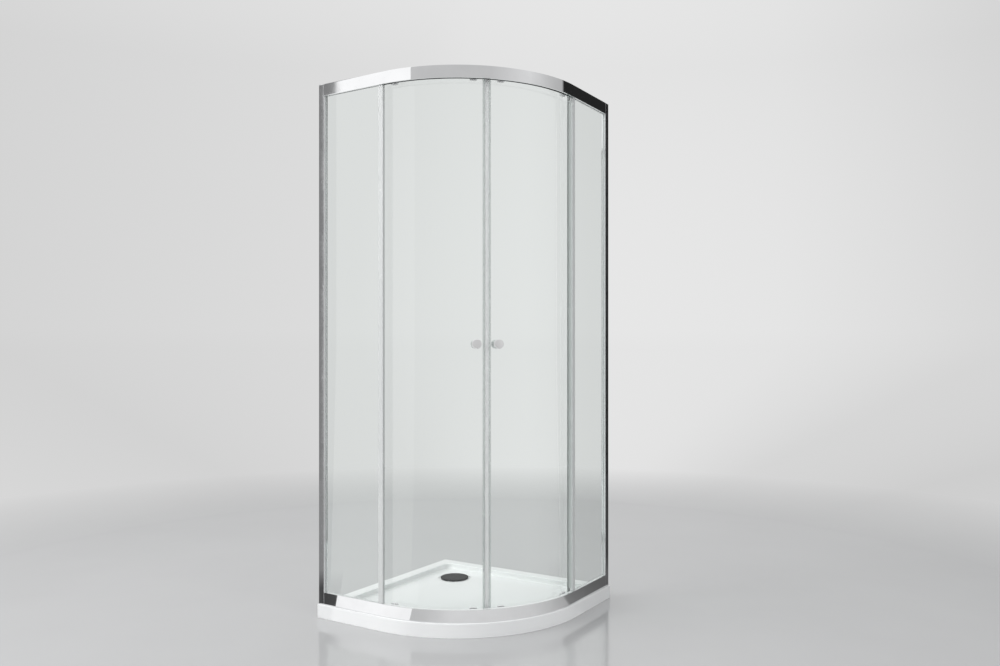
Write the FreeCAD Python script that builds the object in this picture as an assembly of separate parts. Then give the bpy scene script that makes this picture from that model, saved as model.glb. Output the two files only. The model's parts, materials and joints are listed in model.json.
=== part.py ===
"""Quadrant shower enclosure: low tray, bent rails, two fixed panes and two curved sliding doors.

Frame, in mm: the origin is at floor level under the centre of the tray's square, +Z is up.
The wall corner is at -X, +Y. The straight front side faces -Y, the straight right side faces +X,
and a quarter arc joins them. "Left" is the front side and "right" is its mirror image.

Two coordinates recur. "Inset" is the distance inwards from the tray's outer edge, square to it.
"Drop" is the distance from the outer end of a rail: down from the top rail's upper face,
or up from the bottom rail's lower face, because both rails are the same section, one turned over.
Angles run along the arc, from 0 at the front tangent point to 90 at the right one.
"""
import FreeCAD
import Part
import math
import os

# Tray
tray_side = 800.0
corner_radius = 500.0
tray_height = 50.0
tray_wall = 5.0
rim_width = 50.0
basin_depth = 20.0
basin_corner_radius = 30.0
basin_floor_fillet = 9.0
rim_edge_fillet = 3.0
board_thickness = 12.0
board_margin = 14.0
board_hole_clearance = 3.5
pad_radius = 30.0
pad_edge_distance = 105.0
pad_drain_distance = 146.0

# Waste
drain_wall_distance = 172.0
waste_hole_radius = 45.0
waste_recess_radius = 66.0
waste_recess_depth = 3.0
waste_boss_radius = 72.0
waste_boss_depth = 4.0
waste_flange_radius = 57.0
waste_flange_thickness = 2.0
waste_sleeve_radius = 41.0
waste_sleeve_wall = 3.0
waste_cup_flange_radius = 62.0
waste_cup_wall = 3.0
waste_ring_thickness = 3.0
waste_outlet_radius = 20.0
waste_outlet_wall = 3.0
waste_floor_clearance = 1.0
strainer_wall = 1.5
strainer_depth = 12.0
strainer_slots = 10
strainer_slot_width = 3.0
strainer_slot_height = 6.0
strainer_slot_lift = 3.0
strainer_hole_radius = 3.0
strainer_hole_circle = 19.0
cover_radius = 58.0
cover_thickness = 3.0
cover_lift = 2.5
cover_leg_radius = 4.0
cover_legs = 3
cover_leg_angle = 30.0

# Enclosure and rail section
enclosure_height = 1900.0
rail_inset = 7.0
rail_height = 43.0
rail_wall = 1.6
rail_chamber = 2.3
track_drop = 32.0
track_reach = 17.4
rail_lip = 6.0

# Glass and gaskets
glass_thickness = 5.0
gasket_thickness = 2.5
glass_play = 1.4
fixed_glass_setback = 6.0
fixed_glass_entry = 14.0

# Wall side profiles
wall_profile_width = 24.0
wall_profile_depth = 22.0
wall_profile_web = 2.0
wall_profile_leg = 1.5
frame_profile_reveal = 2.0
profile_play = 0.3
cap_thickness = 2.0
wall_hole_radius = 3.0
wall_hole_count = 4
wall_hole_end_distance = 100.0
lock_screw_count = 4
lock_screw_end_distance = 160.0
lock_screw_radius = 2.0
lock_screw_depth = 9.0
screw_head_radius = 4.0
screw_head_height = 2.0

# Edge strip of the fixed glass
strip_width = 20.0
strip_wall = 1.5
fin_thickness = 1.2
fixed_fin_reach = 7.0
strip_end_margin = 0.5

# Rail ends
end_bracket_length = 22.0
end_screw_radius = 2.0
end_screw_head_radius = 4.0
end_screw_length = 12.0
door_stop_length = 14.0
door_stop_height = 20.0
door_stop_distance = 52.0

# Doors
door_clearance = 17.0
door_tail = 39.5
door_end_drop = 4.0
seam_angle = 45.0
seam_gap = 0.3
magnet_seal_width = 14.0
magnet_nose = 6.0
seal_wall = 1.5
seal_play = 0.1
magnet_width = 3.0
magnet_length = 3.5
magnet_end_margin = 10.0
trailing_seal_width = 17.0
door_fin_reach = 14.5
fin_gap = 1.0
fin_end_margin = 3.0

# Rollers
leading_roller_angle = 39.0
trailing_roller_angle = 3.5
roller_drop = 20.0
wheel_gap = 0.3
wheel_width = 6.0
wheel_distance = 12.4
wheel_edge_round = 0.8
wheel_dish_depth = 1.0
wheel_hub_radius = 5.5
wheel_rim = 2.4
axle_radius = 3.0
running_clearance = 0.05
axle_head_radius = 5.0
axle_head_height = 1.5
axle_side_play = 0.2
shoulder_radius = 4.0
bracket_width = 26.0
bracket_depth = 9.5
bracket_height = 38.0
bracket_overhang = 1.0
bracket_corner_radius = 5.0
glass_hole_radius = 6.0
seat_gap = 0.3
cap_spigot_clearance = 0.2
cap_radius = 12.0
cap_height = 5.5
cap_socket_width = 8.0
cap_socket_depth = 2.5
cap_edge_round = 1.0

# Knobs
knob_angle = 40.3
knob_height = 950.0
knob_radius = 17.0
knob_length = 20.0
knob_head_length = 11.0
knob_neck_radius = 8.0
knob_base_radius = 11.0
knob_base_length = 2.0
knob_neck_start = 4.0
knob_edge_round = 2.5
knob_washer_thickness = 1.0
knob_hole_radius = 5.0
stud_radius = 3.0
stud_entry = 11.0

# Places that follow from the sizes above
half = tray_side / 2.0
arc_x = half - corner_radius
arc_y = corner_radius - half
enclosure_top = tray_height + enclosure_height
profile_top = enclosure_top - cap_thickness
basin_floor = tray_height - basin_depth
drain_x = drain_wall_distance - half
drain_y = half - drain_wall_distance

rail_face_inner = rail_inset + rail_wall
channel_outer = rail_face_inner + rail_chamber + rail_wall
fixed_glass_inset = channel_outer + gasket_thickness
channel_inner = fixed_glass_inset + glass_thickness + gasket_thickness
rail_inner = rail_face_inner + track_reach
channel_roof = track_drop + rail_wall
rail_start = wall_profile_width + frame_profile_reveal - half

door_inset = rail_inner + door_clearance
door_inner = door_inset + glass_thickness
door_radius = corner_radius - door_inset - glass_thickness / 2.0
door_bottom = tray_height + door_end_drop + rail_wall
door_top = enclosure_top - door_end_drop
wheel_inset = rail_face_inner + wheel_distance
wheel_radius = track_drop - roller_drop - wheel_gap
knob_z = tray_height + knob_height

ENDS = ("upper", "lower")
ROLLERS = {"leading": leading_roller_angle, "trailing": trailing_roller_angle}
HEXAGON_SIDES = 6
ARC_MIDDLE = 45.0
ARC_END = 90.0
ROUND = 1e-3


# Basic shapes

def vector(x, y, z=0.0):
    return FreeCAD.Vector(x, y, z)


def block(x0, x1, inset0, inset1, z0, z1):
    """A box beside the straight front side, between two places along X, two insets and two heights."""
    corner = vector(x0, inset0 - half, z0)
    return Part.makeBox(x1 - x0, inset1 - inset0, z1 - z0, corner)


def cylinder(x, y, radius, z0, z1):
    return Part.makeCylinder(radius, z1 - z0, vector(x, y, z0))


def ring(x, y, inner, outer, z0, z1):
    return cylinder(x, y, outer, z0, z1).cut(cylinder(x, y, inner, z0, z1))


def fused(shapes):
    shapes = list(shapes)
    return shapes[0].multiFuse(shapes[1:]).removeSplitter() if len(shapes) > 1 else shapes[0]


def polygon(points):
    return Part.Face(Part.makePolygon(points + [points[0]]))


def on_arc(angle, inset, z=0.0):
    """The point at an angle along the arc and an inset."""
    radius = corner_radius - inset
    turn = math.radians(angle)
    return vector(arc_x + radius * math.sin(turn), arc_y - radius * math.cos(turn), z)


def curve(angle0, angle1, inset, z):
    middle = (angle0 + angle1) / 2.0
    return Part.Arc(on_arc(angle0, inset, z), on_arc(middle, inset, z), on_arc(angle1, inset, z)).toShape()


def arc_band(inset0, inset1, angle0, angle1, z0, z1):
    """A curved slab between two insets, two angles and two heights."""
    edges = [
        curve(angle0, angle1, inset0, z0),
        Part.makeLine(on_arc(angle1, inset0, z0), on_arc(angle1, inset1, z0)),
        curve(angle1, angle0, inset1, z0),
        Part.makeLine(on_arc(angle0, inset1, z0), on_arc(angle0, inset0, z0)),
    ]
    return Part.Face(Part.Wire(edges)).extrude(vector(0, 0, z1 - z0))


def along_arc(length):
    """The angle that a length takes along the middle of the door glass."""
    return math.degrees(length / door_radius)


def turned_to(shape, angle):
    """A piece made at the front tangent point, moved along the arc."""
    moved = shape.copy()
    moved.rotate(vector(arc_x, arc_y), vector(0, 0, 1), angle)
    return moved


def mirrored(shape):
    """The same piece on the right side, across the vertical plane through the wall corner."""
    return shape.mirror(vector(0, 0), vector(1, 1))


def revolved(profile, z):
    """A turned piece on a level axis square to the glass: profile points are (radius, inset)."""
    points = [vector(arc_x, inset - half, z + radius) for radius, inset in profile]
    return polygon(points).revolve(vector(arc_x, 0, z), vector(0, 1, 0), 360)


def drop_to_z(end, drop):
    return enclosure_top - drop if end == "upper" else tray_height + drop


def heights(end, drop0, drop1):
    return sorted((drop_to_z(end, drop0), drop_to_z(end, drop1)))


# Tray

def tray_outline(inset, z):
    """The tray's plan, moved inwards by an inset: four straight sides and the quarter arc."""
    wall_x = inset - half
    wall_y = half - inset
    near = half - inset
    line = [
        Part.makeLine(vector(wall_x, wall_y, z), vector(wall_x, -near, z)),
        Part.makeLine(vector(wall_x, -near, z), on_arc(0, inset, z)),
        curve(0, ARC_END, inset, z),
        Part.makeLine(on_arc(ARC_END, inset, z), vector(near, wall_y, z)),
        Part.makeLine(vector(near, wall_y, z), vector(wall_x, wall_y, z)),
    ]
    return Part.Face(Part.Wire(line))


def tray_slab(inset, z0, z1):
    return tray_outline(inset, z0).extrude(vector(0, 0, z1 - z0))


def upright_edges(shape):
    """The vertical edges at the corners, without those where the arc runs tangent into a side."""
    tangents = (on_arc(0, 0), on_arc(ARC_END, 0))
    kept = []
    for edge in shape.Edges:
        box = edge.BoundBox
        level = box.XLength > ROUND or box.YLength > ROUND
        tangent = abs(box.XMin - tangents[0].x) < ROUND or abs(box.YMin - tangents[1].y) < ROUND
        if not level and not tangent:
            kept.append(edge)
    return kept


def level_edges(shape, z):
    level = [edge for edge in shape.Edges if edge.BoundBox.ZLength < ROUND]
    return [edge for edge in level if abs(edge.BoundBox.ZMin - z) < ROUND]


def rounded_slab(inset, z0, z1, corner, floor):
    slab = tray_slab(inset, z0, z1)
    slab = slab.makeFillet(corner, upright_edges(slab))
    return slab.makeFillet(floor, level_edges(slab, z0)) if floor else slab


def shower_tray():
    floor_under = basin_floor - tray_wall
    hollow = tray_slab(tray_wall, 0, tray_height - tray_wall)
    bowl_inset = rim_width - tray_wall
    bowl = rounded_slab(bowl_inset, floor_under, tray_height, basin_corner_radius + tray_wall, 0)
    basin = rounded_slab(rim_width, basin_floor, tray_height, basin_corner_radius, basin_floor_fillet)
    tray = tray_slab(0, 0, tray_height)
    tray = tray.makeFillet(rim_edge_fillet, level_edges(tray, tray_height))
    tray = tray.cut(hollow.cut(bowl)).cut(basin)
    boss = cylinder(drain_x, drain_y, waste_boss_radius, floor_under - waste_boss_depth, basin_floor)
    recess = cylinder(drain_x, drain_y, waste_recess_radius, basin_floor - waste_recess_depth, tray_height)
    hole = cylinder(drain_x, drain_y, waste_hole_radius, 0, tray_height)
    tray = tray.fuse(boss).cut(recess).cut(hole).removeSplitter()
    rim = level_edges(tray, tray_height)
    inner = [edge for edge in rim if edge.BoundBox.XMin > rim_width - ROUND - half]
    return tray.makeFillet(rim_edge_fillet, inner)


board_top = basin_floor - tray_wall
board_bottom = board_top - board_thickness


def tray_base_board():
    board = rounded_slab(rim_width + board_margin, board_bottom, board_top, basin_corner_radius, 0)
    hole = waste_boss_radius + board_hole_clearance
    return board.cut(cylinder(drain_x, drain_y, hole, board_bottom, board_top))


def tray_levelling_pads():
    edge = pad_edge_distance - half
    beside_drain = drain_y - pad_drain_distance
    front = on_arc(ARC_MIDDLE, pad_edge_distance)
    left = [(edge, edge), (edge, beside_drain)]
    right = [(-y, -x) for x, y in left]
    middle = [(0.0, 0.0), (front.x, front.y)]
    return [cylinder(x, y, pad_radius, 0, board_bottom) for x, y in left + right + middle]


# Waste

recess_floor = basin_floor - waste_recess_depth
boss_bottom = basin_floor - tray_wall - waste_boss_depth
flange_top = recess_floor + waste_flange_thickness
cup_top = boss_bottom - waste_ring_thickness
sleeve_bottom = cup_top - waste_cup_wall
cup_inner = waste_sleeve_radius + running_clearance


def waste_flange():
    sleeve_inner = waste_sleeve_radius - waste_sleeve_wall
    plate = ring(drain_x, drain_y, sleeve_inner, waste_flange_radius, recess_floor, flange_top)
    sleeve = ring(drain_x, drain_y, sleeve_inner, waste_sleeve_radius, sleeve_bottom, flange_top)
    return fused([plate, sleeve])


def waste_sealing_ring():
    inner = waste_sleeve_radius + seat_gap
    return ring(drain_x, drain_y, inner, waste_cup_flange_radius, cup_top, boss_bottom)


def waste_cup():
    outer = cup_inner + waste_cup_wall
    outlet_outer = waste_outlet_radius + waste_outlet_wall
    floor_low = waste_floor_clearance + waste_outlet_wall
    flange = ring(drain_x, drain_y, cup_inner, waste_cup_flange_radius, sleeve_bottom, cup_top)
    wall = ring(drain_x, drain_y, cup_inner, outer, floor_low, cup_top)
    floor = ring(drain_x, drain_y, waste_outlet_radius, outer, floor_low, floor_low + waste_cup_wall)
    outlet = ring(drain_x, drain_y, waste_outlet_radius, outlet_outer, waste_floor_clearance,
                  floor_low + waste_cup_wall)
    return fused([flange, wall, floor, outlet])


def waste_strainer():
    """A basket that hangs from its lip on the flange, with slots round its wall and holes in its floor."""
    outer = waste_sleeve_radius - waste_sleeve_wall - seat_gap
    bottom = flange_top - strainer_depth
    lip_top = flange_top + strainer_wall
    lip = ring(drain_x, drain_y, outer - strainer_wall, waste_sleeve_radius, flange_top, lip_top)
    wall = ring(drain_x, drain_y, outer - strainer_wall, outer, bottom, lip_top)
    basket = fused([lip, wall, cylinder(drain_x, drain_y, outer, bottom, bottom + strainer_wall)])
    for index in range(strainer_slots):
        turn = 360.0 * index / strainer_slots
        hole_x = drain_x + strainer_hole_circle
        corner = vector(hole_x, drain_y - strainer_slot_width / 2.0, bottom + strainer_slot_lift)
        slot = Part.makeBox(outer, strainer_slot_width, strainer_slot_height, corner)
        slot.rotate(vector(drain_x, drain_y), vector(0, 0, 1), turn)
        hole = cylinder(hole_x, drain_y, strainer_hole_radius, bottom, bottom + strainer_wall)
        hole.rotate(vector(drain_x, drain_y), vector(0, 0, 1), turn)
        basket = basket.cut(slot).cut(hole)
    return basket


def drain_cover():
    """A disc that stands on short legs, so that water runs in under its edge."""
    low = flange_top + cover_lift
    disc = cylinder(drain_x, drain_y, cover_radius, low, low + cover_thickness)
    disc = disc.makeFillet(cover_thickness / 2.0, level_edges(disc, low + cover_thickness))
    legs = []
    leg_x = drain_x + (waste_sleeve_radius + waste_flange_radius) / 2.0
    for index in range(cover_legs):
        leg = cylinder(leg_x, drain_y, cover_leg_radius, flange_top, low + cover_thickness / 2.0)
        leg.rotate(vector(drain_x, drain_y), vector(0, 0, 1), cover_leg_angle + 360.0 * index / cover_legs)
        legs.append(leg)
    return fused([disc] + legs)


# Rails

def rail_section(end):
    """The extrusion's section at the left rail end: face plate, glass channel, track and outer web."""
    outline = [
        (rail_inset, 0.0),
        (rail_inner, 0.0),
        (rail_inner, rail_lip),
        (rail_inner - rail_wall, rail_lip),
        (rail_inner - rail_wall, rail_wall),
        (rail_face_inner, rail_wall),
        (rail_face_inner, track_drop),
        (rail_inner, track_drop),
        (rail_inner, channel_roof),
        (channel_inner + rail_wall, channel_roof),
        (channel_inner + rail_wall, rail_height),
        (channel_inner, rail_height),
        (channel_inner, channel_roof),
        (channel_outer, channel_roof),
        (channel_outer, rail_height),
        (rail_inset, rail_height),
    ]
    chamber = [
        (rail_face_inner, channel_roof),
        (channel_outer - rail_wall, channel_roof),
        (channel_outer - rail_wall, rail_height - rail_wall),
        (rail_face_inner, rail_height - rail_wall),
    ]
    faces = []
    for points in (outline, chamber):
        faces.append(polygon([vector(0, inset - half, drop_to_z(end, drop)) for inset, drop in points]))
    return faces[0].cut(faces[1]).Faces[0]


def rail(end):
    section = rail_section(end)
    start = section.copy()
    start.translate(vector(rail_start, 0))
    bend = section.copy()
    bend.translate(vector(arc_x, 0))
    straight = start.extrude(vector(arc_x - rail_start, 0))
    arc = bend.revolve(vector(arc_x, arc_y), vector(0, 0, 1), ARC_END)
    body = fused([straight, arc, mirrored(straight)])
    for screw in end_screws(end):
        body = body.cut(screw)
    return body


def end_bracket(end):
    """A block in the end of the rail with a tongue that stands in the frame profile's slot."""
    low, high = heights(end, cap_thickness + seat_gap, track_drop - seat_gap)
    plug = block(rail_start, rail_start + end_bracket_length, rail_face_inner + seat_gap,
                 rail_inner - rail_wall - seat_gap, low, high)
    tongue = block(rail_start - fixed_glass_entry, rail_start, channel_outer + seat_gap,
                   channel_inner - seat_gap, low, high)
    body = fused([plug, tongue])
    for screw in end_screws(end):
        body = body.cut(screw)
    return body


def end_screws(end):
    """Countersunk screws through the rail's web into the end bracket, left and right."""
    x = rail_start + end_bracket_length / 2.0
    y = (rail_face_inner + rail_inner) / 2.0 - half
    way = -1.0 if end == "upper" else 1.0
    top = vector(x, y, drop_to_z(end, 0.0))
    head = Part.makeCone(end_screw_head_radius, end_screw_radius, rail_wall, top, vector(0, 0, way))
    shank = Part.makeCylinder(end_screw_radius, end_screw_length, top, vector(0, 0, way))
    screw = fused([head, shank])
    return [screw, mirrored(screw)]


def door_stop(end):
    """A rubber block on the track, past the end bracket, that the trailing wheel meets when open."""
    low, high = heights(end, track_drop - door_stop_height, track_drop - running_clearance)
    start = rail_start + end_bracket_length + door_stop_distance
    return block(start, start + door_stop_length, rail_face_inner + seat_gap,
                 rail_inner - rail_wall - seat_gap, low, high)


# Wall side of each fixed panel

profile_inner = rail_inset + wall_profile_depth
frame_outer = rail_inset + wall_profile_leg + profile_play
frame_inner = profile_inner - wall_profile_leg - profile_play
frame_start = wall_profile_web + profile_play - half
slot_start = rail_start - fixed_glass_entry - wall_profile_web
lock_screw_x = (frame_start + slot_start) / 2.0


def spread(count, end_distance):
    """Heights of evenly spaced fixings, the outer ones a distance from the ends of the profile."""
    low = tray_height + end_distance
    high = profile_top - end_distance
    return [low + (high - low) * index / (count - 1) for index in range(count)]


def lock_screws():
    """Screws from the shower side through the wall profile into the frame profile."""
    screws = []
    for z in spread(lock_screw_count, lock_screw_end_distance):
        head_seat = vector(lock_screw_x, profile_inner - half, z)
        head = Part.makeCylinder(screw_head_radius, screw_head_height, head_seat, vector(0, 1, 0))
        tip = vector(lock_screw_x, profile_inner - lock_screw_depth - half, z)
        length = lock_screw_depth + screw_head_height / 2.0
        shank = Part.makeCylinder(lock_screw_radius, length, tip, vector(0, 1, 0))
        screws.append(fused([head, shank]))
    return screws


def wall_profile():
    """A channel against the wall that opens towards the panel."""
    end = wall_profile_width - half
    body = block(-half, end, rail_inset, profile_inner, tray_height, profile_top)
    body = body.cut(block(wall_profile_web - half, end, rail_inset + wall_profile_leg,
                          profile_inner - wall_profile_leg, tray_height, profile_top))
    middle = (rail_inset + profile_inner) / 2.0 - half
    for z in spread(wall_hole_count, wall_hole_end_distance):
        start = vector(-half, middle, z)
        body = body.cut(Part.makeCylinder(wall_hole_radius, wall_profile_web, start, vector(1, 0, 0)))
    for screw in lock_screws():
        body = body.cut(screw)
    return body


def frame_profile():
    """The upright that slides in the wall profile and takes the edge of the fixed glass in its slot."""
    body = block(frame_start, rail_start, frame_outer, frame_inner, tray_height, profile_top)
    body = body.cut(block(slot_start, rail_start, channel_outer, channel_inner, tray_height, profile_top))
    for screw in lock_screws():
        body = body.cut(screw)
    return body


def profile_cap():
    end = rail_start - running_clearance
    return block(-half, end, rail_inset, profile_inner, profile_top, enclosure_top)


# Fixed panels

fixed_glass_end = arc_x - fixed_glass_setback
fixed_glass_low = drop_to_z("lower", channel_roof + seat_gap)
fixed_glass_high = drop_to_z("upper", channel_roof + glass_play)
fixed_glass_inner = fixed_glass_inset + glass_thickness


def fixed_glass():
    return block(rail_start - fixed_glass_entry, fixed_glass_end, fixed_glass_inset, fixed_glass_inner,
                 fixed_glass_low, fixed_glass_high)


def glazing_gaskets():
    """Strips on both sides of the glass, in both rails and in the upright slot."""
    strips = []
    between_rails = (drop_to_z("lower", rail_height), drop_to_z("upper", rail_height))
    for inset in (channel_outer, fixed_glass_inner):
        for end in ENDS:
            low, high = heights(end, channel_roof + glass_play, rail_height)
            strips.append(block(rail_start, fixed_glass_end, inset, inset + gasket_thickness, low, high))
        strips.append(block(rail_start - fixed_glass_entry, rail_start, inset, inset + gasket_thickness,
                            *between_rails))
    return strips


fin_low = drop_to_z("lower", rail_height + fin_end_margin)
fin_high = drop_to_z("upper", rail_height + fin_end_margin)
strip_end = fixed_glass_end + strip_wall
strip_start = strip_end - strip_width


def edge_strip():
    """A strip over the free edge of the fixed glass, with a fin towards the door."""
    low = drop_to_z("lower", rail_height + strip_end_margin)
    high = drop_to_z("upper", rail_height + strip_end_margin)
    outer = fixed_glass_inset - strip_wall
    inner = fixed_glass_inner + strip_wall
    body = block(strip_start, strip_end, outer, inner, low, high)
    body = body.cut(block(strip_start, fixed_glass_end, fixed_glass_inset, fixed_glass_inner, low, high))
    fin = block(strip_start, strip_start + fin_thickness, inner - strip_wall / 2.0,
                inner + fixed_fin_reach, fin_low, fin_high)
    return fused([body, fin])


# Sliding doors

closing_angle = seam_angle - along_arc(seam_gap / 2.0)
glass_end_angle = closing_angle - along_arc(magnet_nose)


def door_glass():
    arc = arc_band(door_inset, door_inner, 0, glass_end_angle, door_bottom, door_top)
    tail = block(arc_x - door_tail, arc_x, door_inset, door_inner, door_bottom, door_top)
    body = fused([arc, tail])
    reach = 2.0 * glass_thickness
    for end in ENDS:
        for angle in ROLLERS.values():
            hole = revolved([(0, door_inset - reach), (glass_hole_radius, door_inset - reach),
                             (glass_hole_radius, door_inner + reach), (0, door_inner + reach)],
                            drop_to_z(end, roller_drop))
            body = body.cut(turned_to(hole, angle))
    hole = revolved([(0, door_inset - reach), (knob_hole_radius, door_inset - reach),
                     (knob_hole_radius, door_inner + reach), (0, door_inner + reach)], knob_z)
    return body.cut(turned_to(hole, knob_angle))


def magnet_seal():
    """A seal over the closing edge, with a hollow nose that holds the magnet."""
    start = closing_angle - along_arc(magnet_seal_width)
    outer = door_inset - seal_wall
    inner = door_inner + seal_wall
    body = arc_band(outer, inner, start, closing_angle, door_bottom, door_top)
    body = body.cut(arc_band(door_inset - seal_play, door_inner + seal_play, start,
                             glass_end_angle + along_arc(seal_play), door_bottom, door_top))
    return body.cut(magnet_space(seal_play))


def magnet_space(play):
    middle = (door_inset + door_inner) / 2.0
    end = closing_angle - along_arc(seal_wall - play)
    start = end - along_arc(magnet_length + 2.0 * play)
    reach = magnet_width / 2.0 + play
    return arc_band(middle - reach, middle + reach, start, end, door_bottom + magnet_end_margin - play,
                    door_top - magnet_end_margin + play)


def magnet_strip():
    return magnet_space(0.0)


def trailing_seal():
    """A seal over the other edge, with a fin that stops just short of the fixed panel's fin."""
    start = arc_x - door_tail - seal_wall
    end = start + trailing_seal_width
    body = block(start, end, door_inset - seal_wall, door_inner + seal_wall, door_bottom, door_top)
    body = body.cut(block(start + seal_wall, end, door_inset, door_inner, door_bottom, door_top))
    fin_end = strip_start - fin_gap
    fin = block(fin_end - fin_thickness, fin_end, door_inset - seal_wall - door_fin_reach,
                door_inset - seal_wall / 2.0, fin_low, fin_high)
    return fused([body, fin])


# Rollers, made at the front tangent point and turned to their places

def roller_bracket(end, angle):
    """A chromed block on the outer side of the glass that carries the axle."""
    nose = rail_height + bracket_overhang
    low, high = heights(end, nose - bracket_height, nose)
    reach = math.degrees(bracket_width / 2.0 / (corner_radius - door_inset))
    outer = door_inset - seat_gap - bracket_depth
    body = arc_band(outer, door_inset - seat_gap, -reach, reach, low, high)
    corners = [edge for edge in body.Edges if len(edge.Vertexes) == 2 and is_radial(edge)]
    body = body.makeFillet(bracket_corner_radius, corners)
    hole = shoulder_radius + running_clearance
    front = outer - seat_gap
    bore = revolved([(0, front), (hole, front), (hole, door_inner), (0, door_inner)],
                    drop_to_z(end, roller_drop))
    return turned_to(body.cut(bore), angle)


def is_radial(edge):
    """True for a straight level edge that points at the arc's centre."""
    first, last = (vertex.Point for vertex in edge.Vertexes)
    span = last.sub(first)
    level = abs(span.z) < ROUND
    return level and abs(span.Length - bracket_depth) < ROUND


def roller_axle(end, angle):
    """A headed pin for the wheel with a wider shoulder through the bracket and the glass."""
    head = wheel_inset - wheel_width / 2.0 - axle_side_play - axle_head_height
    seat = head + axle_head_height
    shoulder = wheel_inset + wheel_width / 2.0 + axle_side_play
    tip = door_inner + seat_gap + cap_height - cap_socket_depth
    profile = [
        (0, head),
        (axle_head_radius, head),
        (axle_head_radius, seat),
        (axle_radius, seat),
        (axle_radius, shoulder),
        (shoulder_radius, shoulder),
        (shoulder_radius, tip),
        (0, tip),
    ]
    return turned_to(revolved(profile, drop_to_z(end, roller_drop)), angle)


def roller_cap(end, angle):
    """The cap on the shower side, with a spigot in the glass hole and a hexagon socket."""
    z = drop_to_z(end, roller_drop)
    bore = shoulder_radius + running_clearance
    spigot = glass_hole_radius - cap_spigot_clearance
    face = door_inner + seat_gap
    back = face + cap_height
    profile = [
        (bore, door_inset + seat_gap),
        (spigot, door_inset + seat_gap),
        (spigot, face),
        (cap_radius, face),
        (cap_radius, back - cap_edge_round),
        (cap_radius - cap_edge_round, back),
        (bore, back),
    ]
    body = revolved(profile, z)
    middle = vector(arc_x, back - cap_socket_depth - half, z)
    corners = []
    reach = cap_socket_width / math.sqrt(3.0)
    for index in range(HEXAGON_SIDES + 1):
        turn = math.radians(360.0 * index / HEXAGON_SIDES)
        corners.append(middle.add(vector(reach * math.cos(turn), 0, reach * math.sin(turn))))
    socket = Part.Face(Part.makePolygon(corners)).extrude(vector(0, cap_socket_depth, 0))
    return turned_to(body.cut(socket), angle)


def wheel(end, angle):
    """A flat-treaded wheel with rounded edges, dished sides and a running bore on the axle."""
    outer = wheel_inset - wheel_width / 2.0
    inner = wheel_inset + wheel_width / 2.0
    bore = axle_radius + running_clearance
    dish = wheel_radius - wheel_rim
    profile = [
        (bore, outer),
        (wheel_hub_radius, outer),
        (wheel_hub_radius, outer + wheel_dish_depth),
        (dish, outer + wheel_dish_depth),
        (dish, outer),
        (wheel_radius - wheel_edge_round, outer),
        (wheel_radius, outer + wheel_edge_round),
        (wheel_radius, inner - wheel_edge_round),
        (wheel_radius - wheel_edge_round, inner),
        (dish, inner),
        (dish, inner - wheel_dish_depth),
        (wheel_hub_radius, inner - wheel_dish_depth),
        (wheel_hub_radius, inner),
        (bore, inner),
    ]
    return turned_to(revolved(profile, drop_to_z(end, roller_drop)), angle)


# Knobs

def knob(way):
    """A turned knob on one side of the glass: way is -1 outside and +1 on the shower side."""
    face = door_inset if way < 0 else door_inner
    base = face + way * (seat_gap + knob_washer_thickness)
    head = base + way * (knob_length - knob_head_length)
    tip = base + way * knob_length
    hole = stud_radius + running_clearance
    profile = [
        (hole, base),
        (knob_base_radius, base),
        (knob_base_radius, base + way * knob_base_length),
        (knob_neck_radius, base + way * knob_neck_start),
        (knob_neck_radius, head),
        (knob_radius - knob_edge_round, head),
        (knob_radius, head + way * knob_edge_round),
        (knob_radius, tip - way * knob_edge_round),
        (knob_radius - knob_edge_round, tip),
        (0, tip),
        (0, base + way * (stud_entry + running_clearance)),
        (hole, base + way * (stud_entry + running_clearance)),
    ]
    return turned_to(revolved(profile, knob_z), knob_angle)


def knob_washers():
    washers = []
    for start in (door_inset - seat_gap - knob_washer_thickness, door_inner + seat_gap):
        end = start + knob_washer_thickness
        hole = stud_radius + running_clearance
        profile = [(hole, start), (knob_base_radius, start), (knob_base_radius, end), (hole, end)]
        washers.append(turned_to(revolved(profile, knob_z), knob_angle))
    return washers


def knob_stud():
    stand_off = seat_gap + knob_washer_thickness + stud_entry
    start = door_inset - stand_off
    end = door_inner + stand_off
    profile = [(0, start), (stud_radius, start), (stud_radius, end), (0, end)]
    return turned_to(revolved(profile, knob_z), knob_angle)


# Nodes

def both_sides(shapes):
    return shapes + [mirrored(shape) for shape in shapes]


def standing_parts():
    return {
        "shower_tray": [shower_tray()],
        "tray_base_board": [tray_base_board()],
        "tray_levelling_pads": tray_levelling_pads(),
        "waste_flange": [waste_flange()],
        "waste_sealing_ring": [waste_sealing_ring()],
        "waste_cup": [waste_cup()],
        "waste_strainer": [waste_strainer()],
        "drain_cover": [drain_cover()],
        "top_rail": [rail("upper")],
        "bottom_rail": [rail("lower")],
        "rail_end_brackets": both_sides([end_bracket(end) for end in ENDS]),
        "rail_end_screws": end_screws("upper") + end_screws("lower"),
        "door_stops": both_sides([door_stop(end) for end in ENDS]),
        "profile_caps": both_sides([profile_cap()]),
        "profile_lock_screws": both_sides(lock_screws()),
    }


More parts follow.
